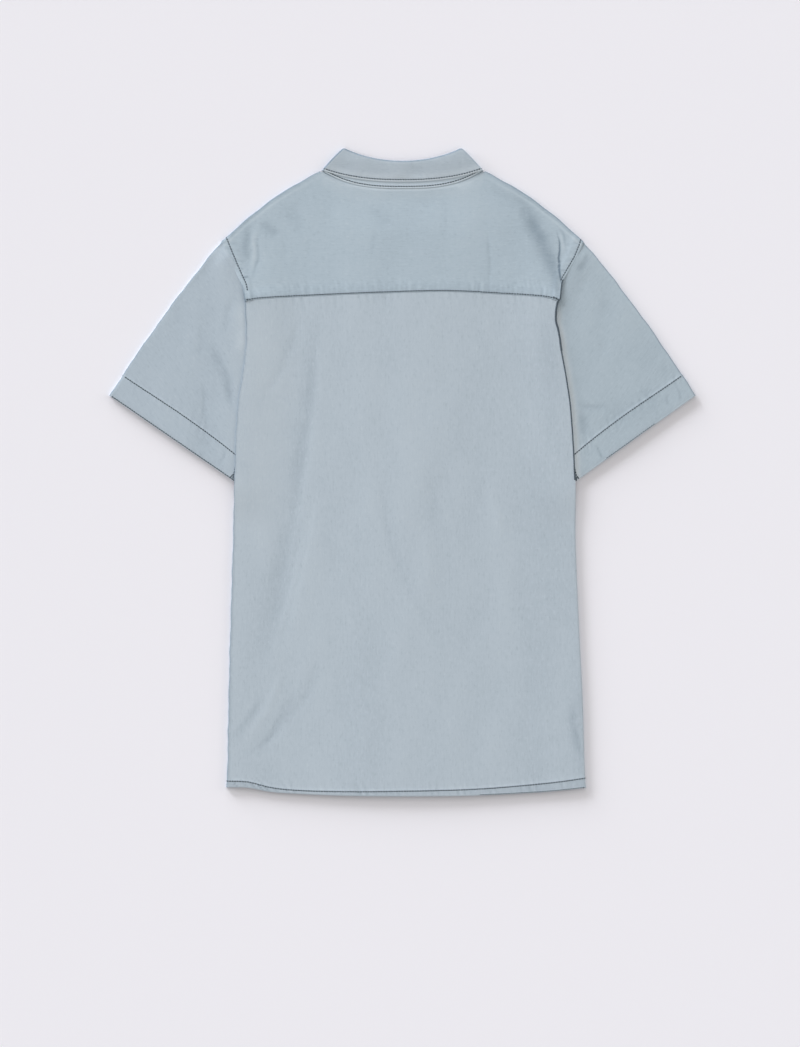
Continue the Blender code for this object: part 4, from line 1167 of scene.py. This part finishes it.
def addFront(name, side, inner, band, tuckUnderBand):
    panel = frontPanel
    (cuffX, cuffY), (armpitX, armpitY) = sleeve["cuffInner"], shirt["armpit"]
    hemRows = np.array([0, 0.5, 1.5, 3, 5, 6.6, 7.4, 8, 8.6, 9.6, 11, 13])
    y = np.concatenate([panel["low"] + hemRows, np.linspace(panel["low"] + 17, shirt["sidesTop"], 150)])
    sideSeam = halfAt(y) - shirt["flap"] - 0.5
    # beside the sleeve it runs on to the underarm fold
    underarm = blend(armpitX, cuffX, (armpitY - y) / (armpitY - cuffY))
    low = np.minimum(underarm - 0.8, sideSeam + panel["wider"] * ease(*panel["widerUp"], y))
    outer = np.where(y < armpitY, low, pathAtHeight(armholeUnder, y) - 0.5)
    start = np.stack([np.full(len(y), float(inner)), y], axis=-1)
    end = np.stack([outer, y], axis=-1)

    # above, the rows turn to follow the neckline and the shoulder seam
    shares = ([1 / 12] if inner < 0 else []) + [1 / 6, 2 / 6, 3 / 6, 4 / 6, 0.76]
    knots = len(shares) + 2
    turn = np.linspace(0, knots, 12 * knots + 1)[1:]
    curve = frontNeck(np.interp(turn, np.arange(3, knots + 1), shares), 0.8)
    edgeY = np.interp(turn, [0, 1, 2], panel["neckTurns"])
    straight = np.stack([np.full(len(turn), float(inner)), edgeY], axis=-1)
    corner = frontNeck(shares[0], 0.8)
    between = blend(np.array([inner, panel["neckTurns"][2]]), corner, np.clip(turn - 2, 0, 1)[:, None])
    neck = np.where((turn <= 2)[:, None], straight, np.where((turn <= 3)[:, None], between, curve))
    rise = turn / knots
    topY = blend(shirt["sidesTop"], armholeUnder[1][1] - 1, rise)
    start = np.concatenate([start, neck])
    end = np.concatenate([end, np.stack([pathAtHeight(armholeUnder, topY) - 0.5, topY], axis=-1)])
    rise = np.concatenate([np.zeros(len(y)), rise])

    width = panel["width"]
    edgeSteps = np.array([0, 0.6, 1.6, 3.0, 4.0, 5.0, 6.0, 7.0, 8.5]) / width
    share = np.concatenate([edgeSteps, np.linspace(11 / width, 1 - 11 / width, panel["columns"]),
                            1 - edgeSteps[::-1]])
    x = blend(start[:, None, 0], end[:, None, 0], share)
    y = blend(start[:, None, 1], end[:, None, 1], share)
    seam = np.stack(frontYokeSeam(blend(shirt["neckCorner"], shirt["shoulderTip"][0], share)), axis=-1)
    chord = blend(start[-1], end[-1], share[:, None])
    pull = rise[:, None] ** 3
    x = x + (seam[:, 0] - chord[:, 0]) * pull
    y = y + (seam[:, 1] - shirt["seamGap"] - chord[:, 1]) * pull
    fromHem = y - y[0]
    low = ease(0, 40, fromHem)
    y = blend(hemY(side * x) + 1.0 + fromHem, y, low)
    x = side * x + swayAt(y)
    if tuckUnderBand:
        # a strip runs on behind the band, where it is sewn
        x[:, 0] -= side * panel["strip"]
    z = frontFloor(x, y, band)
    lifted, lightAndWear = creasesAt(x, y, underCreases)
    swell = np.maximum(rumple(x, y, 101 + side, *panel["swell"]), 0) * panel["swellShare"] + lifted
    offEdge = np.minimum(share, 1 - share) * width
    swell = swell * ease(8, 30, offEdge)[None, :] * ease(12, 40, fromHem) * fade(0.4, 0.9, rise)[:, None]
    groove = shirt["groove"] * hump(fromHem, panel["hemStitch"], 1.0)
    armhole = (1 - share)[None, :] * np.linalg.norm(end - start, axis=-1)[:, None]
    sewn = shirt["groove"] * hump(armhole, panel["armholeStitch"], 1.0) * ease(*panel["armholeUp"], y)
    groove = np.maximum(groove, sewn)
    z = z + swell + groove
    if tuckUnderBand:
        z[:, :2] += panel["stripLift"]
    wearAndPaintedLight = lightAndWear - 0.8 * groove + 0.25 * swell
    return addCloth(name, np.stack([x, y, z], axis=-1), cloths["fronts"], wearAndPaintedLight,
                    {"hem": fromHem, "armhole": armhole}, faceUp=False)


leftFront = addFront("front_left", -1, shirt["bandHalf"] + shirt["seamGap"], shirt["bandFloor"], True)
rightFront = addFront("front_right", 1, 2.0 - shirt["bandHalf"], shirt["underlapFloor"], False)


def addBand():
    half, bandLow = shirt["bandHalf"], frontPanel["bandLow"]
    edge = np.array([0, 0.3, 1, 2.5, 4.8, 5.4, 6, 6.6, 7.2, 9])
    across = np.concatenate([edge, np.linspace(11, 2 * half - 11, 6), 2 * half - edge[::-1]])
    y = np.concatenate([bandLow + np.array([0, 0.4, 1, 3, 6.5, 7.3, 8, 8.7, 9.5]),
                        np.linspace(bandLow + 12.4, frontPanel["bandTop"], 240)])
    across, y = np.meshgrid(across, y)
    x = across - half + swayAt(y)
    z = np.full(x.shape, shirt["bandFloor"])
    near = np.minimum(across, 2 * half - across)
    groove = shirt["groove"] * (hump(near, frontPanel["bandStitch"], 0.8)
                                + hump(y - bandLow, frontPanel["hemStitch"], 0.8))
    drawn = 0.5 * np.maximum(puckerAt(y, 0.3 * near, 111), 0) * fade(5, 11, near)
    z = z + np.minimum(groove, shirt["groove"]) + drawn + 0.3 * fade(0, 0.8, near) ** 2
    wearAndPaintedLight = -0.8 * groove + 0.15 * hump(near, 0.8, 1.0)
    return addCloth("placket", np.stack([x, y, z], axis=-1), cloths["fronts"], wearAndPaintedLight,
                    {"across": across, "hem": y - bandLow}, faceUp=False)


bandPiece = addBand()
print("fronts ready")


# The collar: a stand round the neck, and a leaf that folds down over it. Both are two layers of denim
# with a stiffener between.
collar = {
    "ply": 0.9,
    "foldSide": (74.0, 399.8),      # side end of the fold line
    "foldSag": 15.2,                # it dips this much at the centre back
    "sideBulge": 0.8,
    "frontTop": (6.0, 322.0),
    "point": (60.0, 262.0),
    "leafLowY": 358.5,
    "leafCurve": 2.3,
    "frontCurve": 1.8,
    "leafHeight": 6.4,
    "standHeight": 5.1,
    "standFloor": 2.3,
    "standStarts": (-12.0, 12.6),   # where its two ends begin at the front
    "foldRound": 1.7,
    "stitch": {"collar_leaf": 2.8, "collar_stand": 2.5},     # from the lower edges to their threads
    "stitchDip": 0.12,
    "swell": ((58, 31), (0.12, 0.06)),
    "inset": 1.7,           # how far inside the leaf the stand's top lies
    "wingColumns": 40,      # columns at each end that can belong to the wing's short edge
    "drape": {"collar_leaf": 0.7, "collar_stand": 0.25},
    # painted light towards the lower edges of leaf and stand, against the shade that falls there
    "pale": {"collar_leaf": 0.5, "collar_stand": 0.4},
}


def mixed(start, end, share):
    return tuple(blend(a, b, share) for a, b in zip(start, end))


def collarRing(name, material, lowZ, highZ, front, back, sideEnds, frontStarts, rows, seed):
    # front, back and sideEnds each give the upper and lower end of a column
    radius = (highZ - lowZ) / 2

    def half(side, start):
        found = []
        for share in np.linspace(0, 1, 45):
            shift = radius * share ** 4
            found.append([(side * (x - shift), y, lowZ, 0.0, -1.0) for x, y in front(share, start)])
        for out, up in foldProfile(9):
            found.append([(side * (x - radius + radius * out), y, lowZ + radius + radius * up, side * out, up)
                          for x, y in sideEnds])
        return found

    columns = half(-1, frontStarts[0])
    for share in np.linspace(-1, 1, 109):
        shift = radius * abs(share) ** 4 * math.copysign(1.0, share)
        columns.append([(x - shift, y, highZ, 0.0, 1.0) for x, y in back(share)])
    columns += reversed(half(1, frontStarts[1]))
    ends = np.array(columns)
    top, low = ends[:, 0], ends[:, 1]
    height = np.linalg.norm(top[:, :2] - low[:, :2], axis=1)
    drop, inset, share = (np.array(v)[:, None] for v in zip(*rows))
    at = np.where(share > 0, drop / height + (1 - drop / height) * share, drop / height)
    x = blend(top[None, :, 0], low[None, :, 0], at)
    y = blend(top[None, :, 1], low[None, :, 1], at)
    sideX = blend(collar["foldSide"][0], shirt["neckSide"][0], at)
    x = x + collar["sideBulge"] * np.sin(math.pi * at) * (x / sideX) ** 5
    fromLow = (1 - at) * height
    # the wings' short edges, measured square to the first and last columns
    sideways = np.full(x.shape, 99.0)
    for column in (0, -1):
        startX, startY, endX, endY = top[column, 0], top[column, 1], low[column, 0], low[column, 1]
        reach = math.hypot(endX - startX, endY - startY)
        square = np.abs((x - startX) * (endY - startY) - (y - startY) * (endX - startX)) / reach
        wing = slice(0, collar["wingColumns"]) if column == 0 else slice(-collar["wingColumns"], None)
        sideways[:, wing] = square[:, wing]
    isBack = top[None, :, 4] > 0.5
    along = pathReach(low[:, :2])[None, :]
    dip = np.where(isBack, collar["stitchDip"], shirt["groove"])
    stitchAt = collar["stitch"][name]
    edge = 0.12 * fade(0, 1.2, fromLow) ** 2 + dip * np.maximum(
        hump(fromLow, stitchAt, 0.95), hump(sideways, stitchAt, 0.95))
    gathered = puckerAt(along, 0.3 * fromLow, seed) * ease(0, 1.5, fromLow) * fade(6, 15, fromLow)
    swell = rumple(x, y, seed + 5, *collar["swell"]) * ease(2, 10, fromLow)
    # the leaf lies down on the stand towards its lower edge
    drape = collar["drape"][name] * fade(0, 27, fromLow)
    inset = inset + edge - np.where(isBack, gathered + swell - drape, 0)
    x = x - inset * top[None, :, 3]
    z = top[None, :, 2] - inset * top[None, :, 4]
    pale = collar["pale"][name] * fade(4, 14, fromLow)
    paintedLight = 1.5 * gathered + shirt["swellLightAndWear"] * swell + pale
    # paler at the lower edge as painted light, a little darker below the thread, and painted shade along the
    # back's top fold and on the rounded side ends, the left ones most, which face the lamps
    wearAndPaintedLight = (np.where(isBack, paintedLight, 0) + 0.6 * hump(fromLow, 0.6, 1.3)
            - 0.1 * hump(fromLow, stitchAt + 2.2, 1.2) - 0.9 * fade(0.4, 3.0, at * height) * isBack
            - 0.8 * (drop < 1.4) * (share == 0)
            - np.where(x < 0, 2.0, 0.6) * (np.abs(top[None, :, 4]) < 0.99))
    return addCloth(name, np.stack([x, y, z], axis=-1), material, wearAndPaintedLight,
                    {"low": fromLow, "wing": sideways}, ply=collar["ply"])


def addCollar():
    topX, topY = collar["foldSide"]
    neckX, neckTop = neckSide = shirt["neckSide"]
    inset, leafLow = collar["inset"], collar["leafLowY"]

    def foldLine(share):
        return topX * share, topY - collar["foldSag"] * (1.0 - share * share)

    def frontFold(share, start):
        return blend(start, topX, share), blend(collar["frontTop"][1], topY, share ** collar["frontCurve"])

    def leafFront(share, start):
        return frontFold(share, start), mixed(collar["point"], neckSide, share)

    def leafBack(share):
        low = leafLow + (neckTop - leafLow) * abs(share) ** collar["leafCurve"]
        return foldLine(share), (neckX * share, low)

    # each row: how far below the fold line, how far inside the outer face, and the share of what is left
    bend = collar["foldRound"]
    rows = [(bend * (1 - math.cos(a)), 0.1 + bend * (1 - math.sin(a)), 0.0)
            for a in np.radians(np.linspace(0, 90, 9))]
    fall = [*np.linspace(0.05, 0.8, 14), 0.84, 0.862, 0.88, 0.9, 0.92, 0.94, 0.96, 0.975, 0.988, 0.995, 1.0]
    rows += [(bend, 0.0, share) for share in fall]
    start = collar["frontTop"][0]
    leaf = collarRing("collar_leaf", cloths["collar"], 0.0, collar["leafHeight"], leafFront, leafBack,
                      (collar["foldSide"], neckSide), (start, start), rows, 121)

    def standFront(share, start):
        x, y = frontFold(share, start)
        low = frontNeck(share)
        turned = blend(start, low[0], ease(0, 0.3, share))
        low = (turned if start < 0 else max(low[0], turned), low[1])
        return (x - inset * share, y - inset), low

    def standBack(share):
        x, y = foldLine(share)
        low = standHalf * share
        return (x - inset * share, y - inset), (low, neckY(low))

    standHalf = neckX - shirt["neckInset"]
    fall = [0.0, *np.linspace(0.06, 0.8, 12), 0.84, 0.87, 0.89, 0.905, 0.92, 0.94, 0.96, 0.975, 0.99, 1.0]
    stand = collarRing("collar_stand", cloths["stand"], collar["standFloor"], collar["standHeight"],
                       standFront, standBack, ((topX - inset, topY - inset), (standHalf, neckY(standHalf))),
                       collar["standStarts"], [(0.0, 0.0, share) for share in fall], 131)
    return leaf, stand


leafPiece, standPiece = addCollar()
print("collar ready")


# Lockstitch in a thick thread. Lengths in millimetres.
stitching = {
    "length": 3.0,
    "gap": 0.2,
    "wide": 1.4,
    "high": 0.5,
    "sink": 0.34,       # how far each end goes down into the cloth
    "stray": 0.07,
    "sides": 6,
    # along one stitch: share of its length, thickness, and how far the thread is sunk
    "rings": [(0.0, 0.45, 1.0), (0.1, 0.85, 0.35), (0.3, 1.0, 0.0), (0.7, 1.0, 0.0), (0.9, 0.85, 0.35),
              (1.0, 0.45, 1.0)],
}


def lineOn(name, measure, value, keep=None, alongRows=False):
    # the line on a cloth piece where a measure, which only rises or only falls along the cloth, has a value
    lattice, way, measures = surfaces[name]
    amount = np.broadcast_to(measures[measure], lattice.shape[:2])
    if alongRows:
        lattice, way, amount = (np.swapaxes(a, 0, 1) for a in (lattice, way, amount))
    crosses = (amount[1:] > value) != (amount[:-1] > value)
    columns = np.nonzero(crosses.any(axis=0))[0]
    row = np.argmax(crosses, axis=0)[columns]
    a, b = amount[row, columns], amount[row + 1, columns]
    share = ((value - a) / (b - a))[:, None]
    points = blend(lattice[row, columns], lattice[row + 1, columns], share)
    out = blend(way[row, columns], way[row + 1, columns], share)
    good = ~np.isnan(points[:, 2]) & ~np.isnan(out[:, 2])
    if keep is not None:
        good &= keep(points)
    return points[good], out[good]


def lineDown(pieces, path):
    # a line let down from above on the highest of some pieces
    found = []
    for piece in pieces:
        mesh = piece.data
        tree = BVHTree.FromPolygons([v.co / mm for v in mesh.vertices], [p.vertices for p in mesh.polygons])
        found.append([tree.ray_cast(Vector((x, y, 40.0)), Vector((0, 0, -1)))
                      for x, y in pathPoint(path, np.linspace(0, 1, 2 + 2 * int(pathReach(path)[-1])))])
    hits = [max((hit for hit in place if hit[0] is not None), key=lambda hit: hit[0].z, default=None)
            for place in zip(*found)]
    hits = [hit for hit in hits if hit is not None]
    return np.array([hit[0] for hit in hits]), np.array([hit[1] for hit in hits])


def tube(start, centre, across, up, wide, high, size, sides):
    # the points of a closed tube along a line, ring by ring, and its faces if its points begin at start
    turn = np.linspace(0, 2 * math.pi, sides, endpoint=False)[None, :, None]
    size = size[:, None, None]
    rings = (centre[:, None] + across[:, None] * np.cos(turn) * wide / 2 * size
             + up[:, None] * np.sin(turn) * high / 2 * size)
    last = start + (len(centre) - 1) * sides
    faces = [(low + i, low + (i + 1) % sides, low + sides + (i + 1) % sides, low + sides + i)
             for low in range(start, last, sides) for i in range(sides)]
    faces += [tuple(range(start, start + sides))[::-1], tuple(range(last, last + sides))]
    return rings.reshape(-1, 3), faces


def unit(vectors):
    return vectors / np.linalg.norm(vectors, axis=1, keepdims=True)


def sew(name, lines, length=stitching["length"], gap=stitching["gap"], wide=stitching["wide"]):
    look = stitching
    rng = np.random.default_rng(len(name) * 7 + 3)
    ringAt, ringSize, ringSink = np.array(look["rings"]).T
    verts, faces, count = [], [], 0
    if gap == 0:
        # a thread that doesn't dip into the cloth
        ringSize, ringSink = np.ones(len(ringAt)), np.zeros(len(ringAt))
    for points, way in lines:
        reach = pathReach(points)
        at = rng.uniform(0, length) if reach[-1] > 5 * length and gap else 0.0
        if gap == 0:
            length = reach[-1] / math.ceil(reach[-1] / length)
        while at + length < reach[-1] + 0.01:
            real = length * rng.uniform(0.94, 1.06) if gap else length
            places = at + real * ringAt
            centre, up = (np.stack([np.interp(places, reach, values[:, k]) for k in range(3)], axis=-1)
                          for values in (points, way))
            up = unit(up)
            across = np.cross(unit(np.gradient(centre, axis=0)), up)
            centre = centre + across * rng.uniform(-1, 1) * look["stray"]
            centre = centre + up * (0.22 * look["high"] - look["sink"] * ringSink)[:, None]
            centre[:, 2] = np.maximum(centre[:, 2], look["high"] / 2)
            rings, around = tube(count, centre, across, up, wide, look["high"], ringSize, look["sides"])
            verts.append(rings)
            faces += around
            count += len(rings)
            at += real + gap * rng.uniform(0.8, 1.25)
    addPiece(name, np.concatenate(verts), faces, threadMaterial, softEdge=None)


# Threads that show singly, and a dark cord of thread laid as painted shadow, in millimetres: where they
# run, and how wide they are.
looseThreads = {
    # along the right edge of the body a dark cord of thread is laid as painted shadow, the shade in the gap
    # between the body's edge and the sleeve, widest just below the yoke
    "edge": {"heights": (238.0, 211.0, 150.0, -9.0), "wide": (1.5, 2.5, 1.7), "inset": 0.9, "length": 6.0},
    # the yoke's thread hooks down at both ends
    "hooks": [[(-190.0, 213.7), (-192.8, 213.0), (-194.2, 211.4), (-194.6, 208.4)],
              [(185.0, 216.6), (189.6, 215.2), (192.4, 212.6), (192.6, 208.0)]],
    # short back tacks where the sleeve hems and the body's hem end
    "tackLength": 2.2,
    "tackWide": 1.1,
    "tacks": [[(-214.9, -8.0), (-209.3, -2.5)], [(214.6, -10.6), (215.5, -4.9), (218.6, -9.3)],
              [(222.6, -389.2), (227.0, -389.6)]],
    # dark lines of thread on the very edges: the whole left cuff, and parts of the right cuff and of the hem
    "edges": {
        # piece, its measure, how wide the thread is, and from where to where it runs across the shirt
        "stitches_cuff_edge": ("sleeve_left", "cuff", 1.3, -400.0, 0.0),
        "stitches_rightCuff_edge": ("sleeve_right", "cuff", 0.8, 249.0, 312.0),
        "stitches_hem_edge": ("back", "edge", 0.7, 92.0, 227.0),
    },
}


def sewLooseThreads():
    look, onTop = looseThreads["edge"], sleeve["height"] / 2
    body = (yokePiece, backPiece)
    # the dark cord along the right edge, painted shadow
    for part, (high, low, wide) in enumerate(zip(look["heights"], look["heights"][1:], look["wide"])):
        path = [(float(bodyEdge(y)) - look["inset"], y) for y in np.linspace(high, low, 16)]
        sew(f"stitches_edge_{part}", [lineDown(body, path)], length=look["length"], gap=0.0, wide=wide)
    sew("stitches_hooks", [lineDown(body, path) for path in looseThreads["hooks"]])
    tacks = [lineDown((backPiece, leftSleeve, rightSleeve), path) for path in looseThreads["tacks"]]
    sew("stitches_tacks", tacks, length=looseThreads["tackLength"], gap=0.0, wide=looseThreads["tackWide"])
    for name, (piece, measure, wide, left, right) in looseThreads["edges"].items():
        line = lineOn(piece, measure, sleeve["edgeStitch"],
                      keep=lambda p: (p[:, 2] > onTop) & (p[:, 0] > left) & (p[:, 0] < right))
        sew(name, [line], wide=wide)


def everySeam():
    # the seams that show from above
    sew("stitches_yoke", [lineOn("yoke", "seam", yokePanel["stitch"], alongRows=True)])
    armholes = []
    for side, stop in yokePanel["armholeStop"].items():
        inset = yokePanel["armholeStitch"][side]
        armholes.append(lineOn("yoke", "sideways", side * (shirt["yokeHalf"] - inset),
                               keep=lambda p: (p[:, 1] > stop) | (p[:, 2] < shirt["bodyTop"] / 2)))
    sew("stitches_armholes", armholes)
    for name, inset in collar["stitch"].items():
        wings = [lineOn(name, "wing", inset, alongRows=True)] if name == "collar_leaf" else []
        sew("stitches_" + name, [lineOn(name, "low", inset)] + wings)
    for name in ("sleeve_left", "sleeve_right"):
        hem = [np.concatenate([values, values[:1]]) for values in lineOn(name, "cuff", sleeve["hemStitch"])]
        sew("stitches_" + name, [hem, lineOn(name, "under", sleeve["underStitch"], alongRows=True)])
    sew("stitches_hem", [lineOn("back", "hem", 0.0)])

    # the seams underneath
    rows = backPanel["sideStitches"]
    sew("stitches_sides", [lineOn("back", "flap", row, alongRows=True)
                           for row in (*rows, *(4.0 - r for r in rows))])
    band = frontPanel["bandStitch"]
    lines = [lineOn("placket", "across", at, alongRows=True) for at in (band, 2 * shirt["bandHalf"] - band)]
    sew("stitches_band", lines + [lineOn("placket", "hem", frontPanel["hemStitch"])])
    lines = [lineOn("yoke", "front", yokePanel["stitch"], alongRows=True, keep=lambda p: p[:, 0] * side > 0)
             for side in (-1, 1)]
    for name in ("front_left", "front_right"):
        lines.append(lineOn(name, "hem", frontPanel["hemStitch"]))
        lines.append(lineOn(name, "armhole", frontPanel["armholeStitch"], alongRows=True,
                            keep=lambda p: p[:, 1] > shirt["armpit"][1] + 5))
    sew("stitches_fronts", lines)


everySeam()
sewLooseThreads()
print("seams sewn")


# Each button is sewn through its four holes with two crossing threads, which show in the dish on the
# side that faces the floor.
buttonThread = {
    "holeOffset": 1.35,
    "wide": 0.62,
    "sides": 7,
    "dish": 0.42,           # height of the crossing threads over the floor
    "band": 2.5,            # where they go into the cloth
    "turns": {45: 0.0, 135: 0.14},      # each thread's way across, and how far it runs below the other
    "square": (0.3, -0.8, 0.52),        # a way that no part of the thread takes
}


def sewButtons():
    verts, faces, count = [], [], 0
    look = buttonThread
    out = look["holeOffset"] * math.sqrt(2)
    for number in range(1, 8):
        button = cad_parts[f"button_{number}"]
        button.material_slots[0].material = resinMaterial
        low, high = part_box(f"button_{number}")
        middle = (low + high) / 2 / mm
        for turn, lower in look["turns"].items():
            angle, dish = math.radians(turn), look["dish"] - lower
            side = [(1, look["band"]), (1, 1.0), (0.93, 0.62), (0.55, dish)]
            line = [(-reach, z) for reach, z in side] + [(0, dish - 0.05)] + side[::-1]
            path = np.array([(middle.x + out * reach * math.cos(angle),
                              middle.y + out * reach * math.sin(angle), z) for reach, z in line])
            ahead = unit(np.gradient(path, axis=0))
            across = unit(np.cross(ahead, look["square"]))
            rings, around = tube(count, path, across, np.cross(ahead, across), look["wide"], look["wide"],
                                 np.ones(len(path)), look["sides"])
            verts.append(rings)
            faces += around
            count += len(rings)
    addPiece("stitches_buttons", np.concatenate(verts), faces, threadMaterial, softEdge=None)


sewButtons()
print("buttons sewn")
